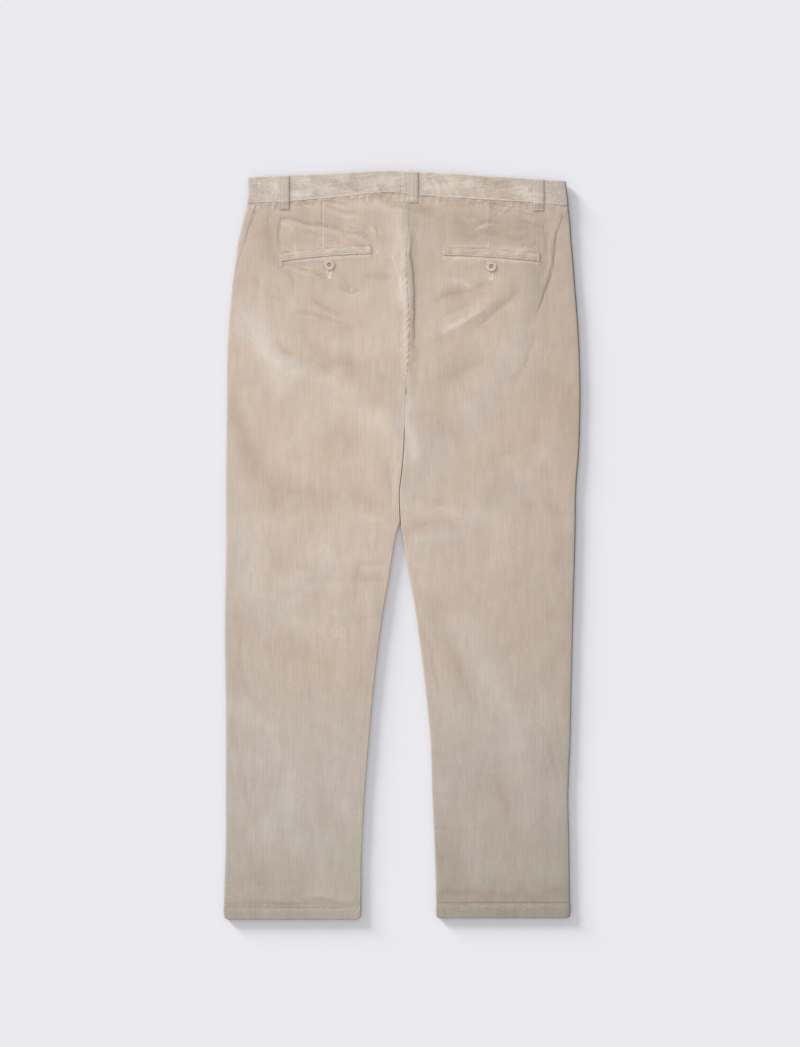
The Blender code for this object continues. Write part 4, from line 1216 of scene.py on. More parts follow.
def both_places(across, along):
    """The same places on the cloth for the outer and the inner face of a closed sheet."""
    return np.tile(np.stack([across, along], axis=-1).reshape(-1, 2), (2, 1))


def closed_sheet(outside, inside):
    """A sheet with a thickness: two equal grids of points, joined round their rims."""
    rows, columns = outside.shape[:2]
    ids = np.arange(rows * columns).reshape(rows, columns)
    quads = grid_quads(ids)
    rim = np.concatenate([ids[0, :-1], ids[:-1, -1], ids[-1, :0:-1], ids[:0:-1, 0]])
    after = np.roll(rim, -1)
    count = rows * columns
    sides = np.stack([after, rim, rim + count, after + count], axis=-1)
    faces = np.concatenate([quads, quads[:, ::-1] + count, sides])
    return np.concatenate([outside.reshape(-1, 3), inside.reshape(-1, 3)]), faces


def panel_rows(face):
    """Rows from the hem to the waist, closer together at the hem and in the seat."""
    coarser = FRONT_COARSER if face == "front" else 1.0
    rows = [np.array([])]
    for band in ROW_BANDS:
        spacing = band.spacing * (coarser if band.spacing > 2.0 else 1.0)
        count = max(1, round((band.end - band.start) / spacing))
        rows.append(np.linspace(band.start, band.end, count, endpoint=False))
    return np.concatenate([*rows, [WAIST_ROW]])


def cloth_thickness(row):
    """The panel's thickness, and that of its turned-up hem below the hem's stitching."""
    return CLOTH + (HEM_CLOTH - CLOTH) * (1.0 - ease(row, *HEM_THICK_ROWS))


def panel_cords(t, grain, row, low, high, above, crisp, cloth):
    """The cords' height for the finish, and how far the cloth stands off the panel's plain form.

    The cords end at seams and hems, where the cloth rolls away, and the hem's stitching presses them down.
    """
    pitch, depth = cloth.wale_pitch / MM, cloth.wale_depth / MM
    from_low, from_high = grain - low[:, None], high[:, None] - grain
    roll = roll_off(from_low, LEG_ROLL.width, (LEG_ROLL.depth - SEAT_ROLL_LESS * (1 - t.share))[:, None])
    roll += roll_off(from_high, *SIDE_ROLL)
    roll += roll_off(row - HEM_ROW, *HEM_ROLL) + roll_off(WAIST_ROW - row, *WAIST_ROLL)
    stitched = swell(row - HEM_STITCH_ROW, *HEM_PRESSED)
    margin = np.minimum(from_low, from_high)
    whole = ease(margin, 0.0, 2.2) * ease(row - HEM_ROW, 0.0, 2.0) * (1.0 - 0.6 * stitched)
    tug = 0.12 * np.sin(grain / 1.05 + 2.0 * np.sin(grain / 9.0)) * swell(row - HEM_STITCH_ROW, *HEM_TUGGED)
    share = CORD_SHARE[0] + CORD_SHARE[1] * crisp
    lift = (wale_height(grain, pitch) - 1.0) * depth * share * whole - roll
    lift += (0.35 * (1.0 - ease(row, HEM_STITCH_ROW, HEM_STITCH_ROW + 3.0)) + tug) * above
    lift -= 0.65 * stitched
    return soften(wale_height(grain, pitch) * whole, crisp), lift


def clipped_faces(ids):
    """Faces of a grid cut off at its sides: quads, and triangles where two of a quad's points are one."""
    quads = grid_quads(ids)
    below, over = quads[:, 0] != quads[:, 1], quads[:, 2] != quads[:, 3]
    faces = quads[below & over].tolist() + quads[below & ~over][:, :3].tolist()
    return faces + quads[~below & over][:, 1:].tolist()


def lining_distances(t, nearest, farthest):
    """How far round from the outermost line the lining's columns lie: close at its bends, wide between."""
    bend = np.maximum(nearest, 0.0) + t.quarter + LINING_BEND
    zones = zip((farthest, t.flat_end, bend), (t.flat_end, bend, nearest), LINING_COLUMNS)
    shares = [a[:, None] + (b - a)[:, None] * (np.arange(n) / n)[None, :] for a, b, n in zones]
    return np.concatenate([*shares, nearest[:, None]], axis=1)


def make_panel(side, face, cloth):
    """A back or front panel: the tube's outer face with wales along its grain, and a plainer wrong side.

    Its columns lie at fixed grain coordinates, four to a wale, and are cut off at the seams.
    """
    rows = panel_rows(face)
    t = tube(side, face, rows)
    sign = 1.0 if face == "back" else -1.0
    nearest = sign * curve(SIDE_SEAM, side, rows) + SEWN_GAP / 2
    farthest = t.flat_end + t.end_round - SEWN_GAP / 2
    low, high = t.origin - farthest, t.origin - nearest
    step = cloth.wale_pitch / MM / POINTS_A_WALE
    columns = step * np.arange(math.floor(low.min() / step), math.ceil(high.max() / step) + 1)
    grain = np.clip(columns[None, :], low[:, None], high[:, None])
    row = rows[:, None]
    around = sign * (t.origin[:, None] - grain)
    dressed = partial(panel_surface, face, relief=back_relief)
    shape = dressed(side, around, row)
    crisp = cord_wear(shape[..., 0], shape[..., 1])
    height, lift = panel_cords(t, grain, row, low, high, ease(around, -3.0, 3.0), crisp, cloth)
    outside = shape + outward(side, dressed, around, row) * lift[..., None]
    outside[-1, :, 1] -= SEWN_GAP

    new = np.ones(grain.shape, bool)
    new[:, 1:] = np.diff(grain, axis=1) > 1e-6
    ids = np.cumsum(new).reshape(new.shape) - 1
    faces = clipped_faces(ids)

    coarse = np.unique(np.append(np.arange(0, len(rows), LINING_EVERY), len(rows) - 1))
    distance = lining_distances(t, nearest, farthest)[coarse]
    lining_around, lining_row = sign * distance, rows[coarse][:, None]
    plain = partial(panel_surface, face, relief=fold_relief)
    inside = plain(side, lining_around, lining_row)
    inside -= outward(side, plain, lining_around, lining_row) * cloth_thickness(lining_row)[..., None]
    inside[-1, :, 1] -= SEWN_GAP
    lining_grain = t.origin[coarse][:, None] - distance
    lining = np.arange(lining_grain.size).reshape(lining_grain.shape) + int(ids[-1, -1]) + 1
    faces += grid_quads(lining)[:, ::-1].tolist()
    for end, forward in ((0, False), (-1, True)):
        edge = np.arange(ids[end, 0], ids[end, -1] + 1)
        marks = np.searchsorted(grain[end][new[end]], lining_grain[end])
        marks[0], marks[-1] = 0, len(edge) - 1
        faces += rim_faces(edge, lining[end], np.clip(marks, 0, len(edge) - 1), forward)
    for end, forward in ((0, True), (-1, False)):
        faces += rim_faces(ids[:, end], lining[:, end], coarse, forward)
    if (side == "left") != (face == "front"):
        faces = [points[::-1] for points in faces]

    points = np.concatenate([outside[new], inside.reshape(-1, 3)])
    shown = np.stack(np.broadcast_arrays(grain, row), axis=-1)[new]
    hidden = np.stack(np.broadcast_arrays(lining_grain, lining_row), axis=-1).reshape(-1, 2)
    seen = ease(around, -10.0, 0.0)
    worn = seam_wear(outside[..., 0], outside[..., 1]) * seen + swell(row - HEM_STITCH_ROW, *HEM_WEAR)
    worn = worn + swell(high[:, None] - grain, *SIDE_WEAR) + swell(grain - low[:, None], *INNER_WEAR)
    outer_shades = cloth_shades(outside[new], height[new], seen[new], worn[new])
    inner_shades = cloth_shades(inside, LINING_CORD, 0.5)
    shades = {title: np.concatenate([outer_shades[title], inner_shades[title]]) for title in outer_shades}
    cut = np.concatenate([shown, hidden])
    piece = make_piece(f"corduroy_{face}_{side}", points, faces, cut, shades, corduroy(cloth))
    area = float(np.trapz(high - low, rows)) * MM * MM
    width = float(high.max() - low.min()) * MM
    return piece, (width, (WAIST_ROW - HEM_ROW) * MM), area


def make_waistband(side, cloth):
    """Half of the waistband, its wales along it: the band's face, rolled at its edges, over a plain wall."""
    radius = (BAND_HEIGHT - BAND_BOTTOM) / 2
    quarter = math.pi / 2 * radius
    up = np.linspace(0.0, 1.0, BAND_WALES * POINTS_A_WALE + 1)
    edge = outer_edge(side, BAND_LOW_ROW + BAND_DEPTH * up)
    back_end = SIDE[side] * BAND_BACK_SEAM + GAP / 2
    front_lap = {"left": BAND_LAP, "right": -FLY_SHIELD}[side]
    front_end = SIDE[side] * (float(curve(CENTRE_LINE, "x", WAIST_ROW)) + front_lap)
    under = np.linspace(front_end + radius - quarter - edge, -quarter, BAND_COLUMNS, endpoint=False)
    wrap = np.linspace(-quarter, quarter, BAND_WRAP, endpoint=False)[:, None] * np.ones_like(edge)
    over = np.linspace(quarter, quarter + edge - radius - back_end, BAND_COLUMNS)
    around = np.concatenate([under, wrap, over]).T
    up = np.broadcast_to(up[:, None], around.shape)
    shape = band_surface(side, around, up)
    normals = outward(side, band_surface, around, up)
    x, y = shape[..., 0], shape[..., 1]
    tall = shape[-1:, :, 1] - shape[:1, :, 1]
    from_end = np.minimum(around - around[:, :1], around[:, -1:] - around)
    edges = np.minimum(up, 1.0 - up) * tall
    roll = roll_off(up * tall, *BAND_LOW_ROLL) + roll_off((1.0 - up) * tall, *BAND_TOP_ROLL)
    roll = roll + roll_off(from_end, *BAND_END_ROLL)
    height = wale_height(up * BAND_WALES, 1.0) * ease(edges, 0.0, 1.5) * ease(from_end, 0.0, 1.5)
    height = soften(height, cord_wear(x, y))
    puckers = 0.2 * ripple(x, y * 0.4, 26.0, 11) + 0.1 * ripple(x, y * 0.2, 9.0, 12) * bell(edges, 9.0)
    lift = (height - 1.0) * (cloth.wale_depth / MM) + puckers - roll
    points, faces = closed_sheet(shape + normals * lift[..., None], shape - normals * BAND_CLOTH)
    if side == "right":
        faces = faces[:, ::-1]
    heights = np.concatenate([height.ravel(), np.full(height.size, LINING_CORD)])
    shades = cloth_shades(points, heights, worn=0.8)
    shades["pile"] = shades["pile"] + both_faces(ripples(x, y, BAND_SMUDGES))
    cut = both_places(up * tall, around)
    piece = make_piece(f"corduroy_waistband_{side}", points, faces.tolist(), cut, shades, corduroy(cloth))
    length = float(around[0, -1] - around[0, 0]) * MM
    return piece, (float(tall.max()) * MM, length), float(tall.mean()) * MM * length


def carried_height(x, y):
    """Height of the band or panel under a piece that lies on the back."""
    return np.where(y > seam_line(x, True) - 0.5, band_top(x), back_top(x, y, fold_relief))


def loop_ends(loop, back=True):
    """The lower and the upper end of a belt loop, on the back or on the hidden front."""
    top = waist_line("back_top" if back else "front_top", loop.x)
    return float(seam_line(loop.x, back)) - LOOP_TAIL, float(top) - LOOP_INSET


def loop_carrier(loop, y):
    """The loop's own underside: the frame's eight stations along it, and straight lines between them."""
    low, top = loop_ends(loop)
    seam = float(seam_line(loop.x, True))
    stations = np.array([low, *(seam + station.above for station in LOOP_STATIONS), top])
    slack = np.array([0.0, *(station.slack for station in LOOP_STATIONS), 0.0]) * LOOP_SLACK
    steps = np.linspace(-LOOP_CATCH, LOOP_CATCH, 7)
    caught = [[carried_height(np.float64(loop.x), station + step) for step in steps] for station in stations]
    return np.interp(y, stations, np.array([np.max(heights) for heights in caught]) + slack)


Strap = namedtuple("Strap", "low top across x y edges height")


def strap(loop, back, rows):
    """A belt loop's grid: its share across, x and y, the distance to its nearer edge, and its cords."""
    low, top = loop_ends(loop, back)
    across = np.linspace(-0.5, 0.5, LOOP_WALES * POINTS_A_WALE + 1)
    across, y = np.broadcast_arrays(across[None, :], np.linspace(low, top, rows)[:, None])
    edges = (0.5 - np.abs(across)) * LOOP_WIDTH
    height = wale_height(across * LOOP_WALES, 1.0) * ease(edges, 0.0, 1.2)
    return Strap(low, top, across, loop.x + LOOP_WIDTH * across, y, edges, height)


def make_strap(loop, s, first, second, cloth):
    """The mesh of a belt loop between the heights of its two faces, with its flat size and area."""
    faces = [np.stack([s.x, s.y, z], axis=-1) for z in (first, second)]
    points, faces = closed_sheet(*faces)
    shades = cloth_shades(points, both_faces(s.height))
    cut = both_places(s.x - loop.x, s.y - s.low)
    piece = make_piece(f"corduroy_{loop.node}", points, faces.tolist(), cut, shades, corduroy(cloth))
    length = s.top - s.low
    return piece, (LOOP_WIDTH * MM, length * MM), LOOP_WIDTH * length * MM * MM


def make_back_loop(loop, cloth):
    """A belt loop: a strap with rolled edges and a raised middle, over the band and tacked below its seam."""
    s = strap(loop, True, BACK_LOOP_ROWS)
    below, above = s.y - s.low, s.top - s.y
    under = loop_carrier(loop, s.y) + GAP - 0.15 * (1.0 - ease(below, 0.0, 5.0))
    roll = roll_off(s.edges, *LOOP_ROLL) + roll_off(np.minimum(below, above), *LOOP_END_ROLL)
    pressed = swell(below, *LOOP_PRESSED[0]) + swell(above, *LOOP_PRESSED[1])
    lift = LOOP_CLOTH + (s.height - 1.0) * cloth.wale_depth / MM - roll - pressed
    lift += ripples(s.x, s.y, LOOP_RIPPLES, swell(s.across, *LOOP_FULL)) - swell(below, *LOOP_BENT)
    return make_strap(loop, s, under + np.maximum(lift, LOOP_LEAST), under, cloth)


def make_front_loop(loop, cloth):
    """A belt loop on the hidden front: a flat strap between the waistband and the surface."""
    s = strap(loop, False, FRONT_LOOP_ROWS)
    sunk = (1.0 - s.height) * cloth.wale_depth / MM * STRIP_WALES + roll_off(s.edges, *FRONT_LOOP_ROLL)
    return make_strap(loop, s, np.full_like(s.x, BAND_BOTTOM - GAP), sunk, cloth)


def welt_middle(side, x):
    """The middle line of a welt: the parabola through its two ends and its middle."""
    welt = WELTS[side]
    places = (welt.x_start, welt.x_middle, welt.x_end)
    return np.polyval(np.polyfit(places, (welt.y_start, welt.y_middle, welt.y_end), 2), x)


def welt_under(x, y):
    """What a welt lies on: the higher of the frame's panel and the dressed one, a little apart."""
    return np.maximum(back_top(x, y, fold_relief), back_top(x, y, back_relief)) + GAP + WELT_CLEARANCE


def make_welt(side, cloth):
    """The single welt of a back pocket: a folded strip along an arc, fuller between its stitched edges."""
    welt = WELTS[side]
    x = np.linspace(welt.x_start, welt.x_end, WELT_COLUMNS)
    across = np.linspace(-0.5, 0.5, WELT_WALES * POINTS_A_WALE + 1)
    x, across = np.broadcast_arrays(x[None, :], across[:, None])
    y = welt_middle(side, x) + WELT_HEIGHT * across
    under = welt_under(x, y)
    edges = (0.5 - np.abs(across)) * WELT_HEIGHT
    ends = np.minimum(x - welt.x_start, welt.x_end - x)
    height = wale_height(across * WELT_WALES, 1.0) * ease(edges, 0.0, 1.2)
    roll = roll_off(edges, *WELT_ROLL) + roll_off(ends, *WELT_END_ROLL)
    stitched = swell(edges, *WELT_PRESSED[0]) + swell(ends, *WELT_PRESSED[1])
    full = swell(across, *WELT_FULL) * ripples(x, y, WELT_RIPPLES, 1.0)
    cords = (height - 1.0) * cloth.wale_depth / MM * STRIP_WALES
    lift = WELT_CLOTH - WELT_LOWERED + cords - roll - stitched + full
    outside = np.stack([x, y, under + np.maximum(lift, WELT_LEAST)], axis=-1)
    points, faces = closed_sheet(outside, np.stack([x, y, under], axis=-1))
    cut = both_places(across * WELT_HEIGHT, x - welt.x_start)
    shades = cloth_shades(points, both_faces(height), worn=0.9)
    shades["pile"] = 0.5 * shades["pile"] + both_faces(ripples(x, y, WELT_SMUDGES, 0.1))
    # Painted shade along the welt's edges
    shades["fade"] = shades["fade"] * both_faces(1.0 - swell(edges, *WELT_EDGE_SHADE))
    piece = make_piece(f"corduroy_welt_{side}", points, faces.tolist(), cut, shades, corduroy(cloth))
    length = float(np.hypot(welt.x_end - welt.x_start, welt.y_end - welt.y_start))
    return piece, (WELT_HEIGHT * MM, length * MM), WELT_HEIGHT * length * MM * MM


# The button's profile from the middle of its back to the middle of its dish, in shares of its size
BUTTON_PROFILE = table(
    "radius height",
    (0.0, 0.0), (0.80, 0.0), (0.90, 0.10), (0.975, 0.32), (1.0, 0.55), (0.985, 0.78), (0.94, 0.94),
    (0.88, 1.0), (0.74, 0.97), (0.68, 0.90), (0.64, 0.84), (0.60, 0.90), (0.50, 0.94), (0.42, 0.92),
    (0.37, 0.80), (0.33, 0.42), (0.24, 0.32), (0.0, 0.34),
)


def make_button(name, centre, radius, height, up, material):
    """A turned button: its profile carried round its axis, with a broad rim and a round dish."""
    turn = np.linspace(0, 2 * math.pi, BUTTON_SIDES, endpoint=False)
    rings = np.array([(ring.radius * radius, ring.height * height) for ring in BUTTON_PROFILE[1:-1]])
    x = rings[:, :1] * np.cos(turn)
    y = rings[:, :1] * np.sin(turn)
    z = np.broadcast_to(rings[:, 1:], x.shape)
    poles = np.array([[0.0, 0.0, BUTTON_PROFILE[end].height * height] for end in (0, -1)])
    points = np.concatenate([np.stack([x, y, z], axis=-1).reshape(-1, 3), poles])
    ids = np.arange(x.size).reshape(x.shape)
    ids = np.concatenate([ids, ids[:, :1]], axis=1)
    faces = grid_quads(ids).tolist()
    faces += [[*pair, x.size] for pair in zip(ids[0, 1:].tolist(), ids[0, :-1].tolist())]
    faces += [[*pair, x.size + 1] for pair in zip(ids[-1, :-1].tolist(), ids[-1, 1:].tolist())]
    if not up:
        points[:, 2] = height - points[:, 2]
        faces = [face[::-1] for face in faces]
    # Painted shade where the rim falls into the dish
    dish = bell(rings[:, 0] / radius - 0.27, 0.09) * (rings[:, 1] > 0.3 * height)
    dish = np.concatenate([np.repeat(dish, BUTTON_SIDES), [0.0, 0.0]])
    return make_piece(name, points + centre, faces, None, {"dish": dish}, material)


def lay_threads(name, centres, along, across, up, stitch, material):
    """Short arched threads in one mesh: a circle carried along a parabola whose ends dip into the cloth.

    centres, along, across and up are arrays of points and unit directions, one row for each thread.
    """
    stations = np.linspace(-1.0, 1.0, THREAD_STATIONS)
    turn = np.linspace(0, 2 * math.pi, THREAD_SIDES, endpoint=False)
    thin = np.sqrt(1.0 - (0.82 * stations) ** 2)
    length = np.broadcast_to(stitch.length, len(centres))
    middle = (
        centres[:, None, :]
        + along[:, None, :] * (stations[None, :, None] * length[:, None, None] / 2)
        + up[:, None, :] * (stitch.arch * (1.0 - 1.7 * stations**2))[None, :, None]
    )
    ring = across[:, None, None, :] * np.cos(turn)[None, None, :, None]
    ring = ring + up[:, None, None, :] * np.sin(turn)[None, None, :, None]
    points = middle[:, :, None, :] + ring * (stitch.radius * thin)[None, :, None, None]
    count = THREAD_STATIONS * THREAD_SIDES
    ids = np.arange(count).reshape(THREAD_STATIONS, THREAD_SIDES)
    caps = np.array([ids[0, ::-1], ids[-1]])
    quads = grid_quads(np.concatenate([ids, ids[:, :1]], axis=1))
    shift = (count * np.arange(len(centres)))[:, None, None]
    faces = (quads[None] + shift).reshape(-1, 4)[:, ::-1].tolist()
    faces += (caps[None] + shift).reshape(-1, THREAD_SIDES)[:, ::-1].tolist()
    return make_piece(name, points.reshape(-1, 3), faces, None, {}, material)


Threads = namedtuple("Threads", "centres along across up")


def threads_along(route, spacing, height, face=1.0, turned=False, swing=0.0):
    """Places for threads at even steps along a route of x and y, at the height of what they are sewn to.

    turned lays each thread across the route, as in a bar tack or a buttonhole.
    """
    route = np.asarray(route, float)
    gone = np.concatenate([[0.0], np.cumsum(np.hypot(*np.diff(route, axis=0).T))])
    at = np.arange(spacing / 2, gone[-1], spacing)
    x, y = (np.interp(at, gone, values) for values in route.T)
    ahead = np.minimum(at + 0.4, gone[-1])
    behind = np.maximum(at - 0.4, 0.0)
    dx, dy = (np.interp(ahead, gone, values) - np.interp(behind, gone, values) for values in route.T)
    heading = np.arctan2(dy, dx) + swing * np.sin(at * 2.3)
    if turned:
        heading = heading + math.pi / 2
    along = np.stack([np.cos(heading), np.sin(heading), np.zeros_like(x)], axis=-1)
    up = np.zeros_like(along)
    up[:, 2] = face
    return Threads(np.stack([x, y, height(x, y)], axis=-1), along, np.cross(up, along), up)


def sew(name, rows, stitch, material):
    """One piece of sewing from several rows of threads."""
    together = [np.concatenate(parts) for parts in zip(*rows)]
    piece = lay_threads(name, *together, stitch, material)
    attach(piece, "root")
    return piece


def panel_height(x, y):
    """Where a thread lies on the dressed back."""
    return back_top(x, y, back_relief) + 0.05


def under_height(x, y):
    """Where a thread lies on the hidden face: just inside the surface that the trousers rest on."""
    return np.full(np.shape(x), 0.22) + front_bottom(y)


def arc(centre, radius, start, end, count=12):
    """Points on an arc of x and y, from one angle in degrees to another."""
    turn = np.radians(np.linspace(start, end, count))
    return np.stack([centre[0] + radius * np.cos(turn), centre[1] + radius * np.sin(turn)], axis=-1)


def buttonhole_route(hole, width):
    """A closed loop round a buttonhole: an eye at its top and a leg that narrows to a round end."""
    eye = arc((hole.x, hole.top - 4.0), width * 2.4, -20, 200)
    foot = arc((hole.x + 0.8, hole.bottom), width * 0.7, 180, 360)
    return np.concatenate([eye, foot, eye[:1]])


def sew_hems(material):
    """One row of stitches round each leg, on both faces."""
    for side in SIDE:
        edge, inner = outer_edge(side, HEM_STITCH_ROW), inner_edge(side, "back", HEM_STITCH_ROW)
        x = SIDE[side] * np.linspace(inner + 2.5, edge - 2.5, 60)
        route = np.stack([x, np.full_like(x, HEM_STITCH_ROW + HEM_RISE[side])], axis=-1)
        rows = [
            threads_along(route, HEM_STITCH.spacing, lambda x, y: back_top(x, y, back_relief) - 0.25),
            threads_along(route, HEM_STITCH.spacing, lambda x, y: np.full(x.shape, 0.5), face=-1.0),
        ]
        sew(f"stitches_hem_{side}", rows, HEM_STITCH, material)


def sew_welts(material):
    """A row of stitches along each welt's lower edge, and a bar tack at each of its ends."""
    over = lambda x, y: welt_under(x, y) + WELT_CLOTH - WELT_LOWERED - 0.15
    for side, welt in WELTS.items():
        x = np.linspace(welt.x_start + 2.0, welt.x_end - 2.0, 50)
        middle = welt_middle(side, x)
        route = np.stack([x, middle - WELT_HEIGHT * 0.34], axis=-1)
        sew(f"stitches_welt_{side}", [threads_along(route, WELT_STITCH.spacing, over)], WELT_STITCH, material)
        tacks = []
        for end in (0, -1):
            low, high = middle[end] - WELT_HEIGHT * 0.52, middle[end] + WELT_HEIGHT * 0.52
            for shift in (-0.45, 0.45):
                route = ((x[end] + shift, low), (x[end] + shift, high))
                tacks.append(threads_along(route, WELT_TACK.spacing, over, turned=True, swing=0.25))
        sew(f"bar_tacks_welt_{side}", tacks, WELT_TACK, material)


def sew_loops(material):
    """Two rows of edge stitching on each belt loop, and bar tacks where it is caught down."""
    rows, tacks = [], []
    for loop in BACK_LOOPS:
        top = float(waist_line("back_top", loop.x)) - 2.5
        low = float(seam_line(loop.x, True)) - LOOP_TAIL + 1.5
        over = lambda x, y, loop=loop: loop_carrier(loop, y) + GAP + LOOP_CLOTH - 0.1
        for shift in (-5.4, 5.4):
            y = np.linspace(low, top, 30)
            route = np.stack([np.full_like(y, loop.x + shift), y], axis=-1)
            rows.append(threads_along(route, LOOP_STITCH.spacing, over))
        for y in (low + 1.2, top - 0.8):
            route = ((loop.x - 6.6, y), (loop.x + 6.6, y))
            tacks.append(threads_along(route, LOOP_TACK.spacing, over, turned=True, swing=0.3))
    sew("stitches_loops", rows, LOOP_STITCH, material)
    sew("bar_tacks_loops", tacks, LOOP_TACK, material)


def sew_buttonholes(material):
    """Close stitches across the edge of each keyhole buttonhole, and a tack below it."""
    for side, hole in BUTTONHOLES.items():
        edge, tack = buttonhole_route(hole, 1.9), hole.bottom - 2.4
        route = ((hole.x - 2.2, tack), (hole.x + 2.2, tack))
        rows = [
            threads_along(edge, BUTTONHOLE_EDGE.spacing, panel_height, turned=True, swing=0.1),
            threads_along(route, BUTTONHOLE_TACK, panel_height, turned=True),
        ]
        sew(f"buttonhole_{side}", rows, BUTTONHOLE_EDGE, material)


def sew_seams(material):
    """The tack at the left side pocket's mouth, and the fly's curved stitching on the hidden front."""
    x, y = POCKET_TACK
    route = ((x + 1.4, y + 6.0), (x - 1.6, y - 6.0))
    tack = threads_along(route, SIDE_TACK.spacing, panel_height, turned=True, swing=0.5)
    sew("bar_tack_side_pocket", [tack], SIDE_TACK, material)
    edge = float(curve(CENTRE_LINE, "x", WAIST_ROW)) + FLY_LAP
    straight = np.array([(edge - 36.0, 462.0), (edge - 36.0, 345.0)])
    route = np.concatenate([straight, arc((edge - 6.0, 345.0), 30.0, 180, 268)])
    fly = threads_along(route, FLY_STITCH.spacing, under_height, face=-1.0)
    sew("stitches_fly", [fly], FLY_STITCH, material)


def sew_buttons(material):
    """Thread through each pocket button: two bars of three strands across its dish."""
    for side, (x, y) in POCKET_BUTTONS.items():
        low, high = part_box(f"pocket_button_{side}")
        level = low.z / MM + (high.z - low.z) / MM * BUTTON_SUNK * 0.76
        rows = []
        for shift in BUTTON_BARS:
            tilt = 0.25 * shift
            route = ((x - 0.9 + tilt, y + shift), (x + 0.9 + tilt, y + shift))
            rows.append(threads_along(route, BUTTON_BAR.spacing, lambda x, y: np.full(x.shape, level)))
        sew(f"thread_button_{side}", rows, BUTTON_BAR, material)


# Finishes


def plug(tree, node, inputs):
    """Set a node's inputs, each to a number, a colour or another node's socket."""
    for title, value in inputs.items():
        if isinstance(value, bpy.types.NodeSocket):
            tree.links.new(value, node.inputs[title])
        else:
            node.inputs[title].default_value = value


def add_node(tree, kind, inputs=None, **settings):
    """The first output of a new shader node with its inputs and settings."""
    node = tree.nodes.new(kind)
    for title, value in settings.items():
        setattr(node, title, value)
    plug(tree, node, inputs or {})
    return node.outputs[0]


def here(tree):
    """The place on the piece, in the object's own coordinates."""
    return tree.nodes.new("ShaderNodeTexCoord").outputs["Object"]


def attribute(tree, title):
    """A number that the mesh carries at its points."""
    node = tree.nodes.new("ShaderNodeAttribute")
    node.attribute_name = title
    return node.outputs["Fac"]


def new_finish(title):
    """A material with a Principled shader, or the one of that name that is already made."""
    material = bpy.data.materials.get(title)
    if material is not None:
        return material, None, None
    material = bpy.data.materials.new(title)
    material.use_nodes = True
    tree = material.node_tree
    return material, tree, tree.nodes["Principled BSDF"]


def maths(tree, operation, *numbers):
    """One sum of two or three numbers or sockets."""
    return add_node(tree, "ShaderNodeMath", dict(enumerate(numbers)), operation=operation)


def between(tree, factor, *stops):
    """A colour from a ramp; each stop has a position and a colour, and the first two are its ends."""
    node = tree.nodes.new("ShaderNodeValToRGB")
    elements = node.color_ramp.elements
    for number, (position, colour) in enumerate(stops):
        element = elements[number] if number < 2 else elements.new(position)
        element.position = position
        element.color = (*colour, 1.0)
    plug(tree, node, {"Fac": factor})
    return node.outputs[0]


def scaled(tree, colour, factor):
    """A colour made brighter or darker."""
    return add_node(tree, "ShaderNodeVectorMath", {0: colour, "Scale": factor}, operation="SCALE")


def bumped(tree, height, strength, distance):
    """The shading of relief too fine for the mesh."""
    return add_node(tree, "ShaderNodeBump", {"Strength": strength, "Distance": distance, "Height": height})


def uneven(tree, vector, scale, detail, stretch=(1.0, 1.0, 1.0)):
    """Noise about 0, from -0.5 to 0.5, at so many features a metre in each direction."""
    place = add_node(tree, "ShaderNodeMapping", {"Vector": vector, "Scale": [scale * s for s in stretch]})
    grain = {"Vector": place, "Scale": 1.0, "Detail": detail, "Roughness": 0.6}
    return maths(tree, "SUBTRACT", add_node(tree, "ShaderNodeTexNoise", grain), 0.5)


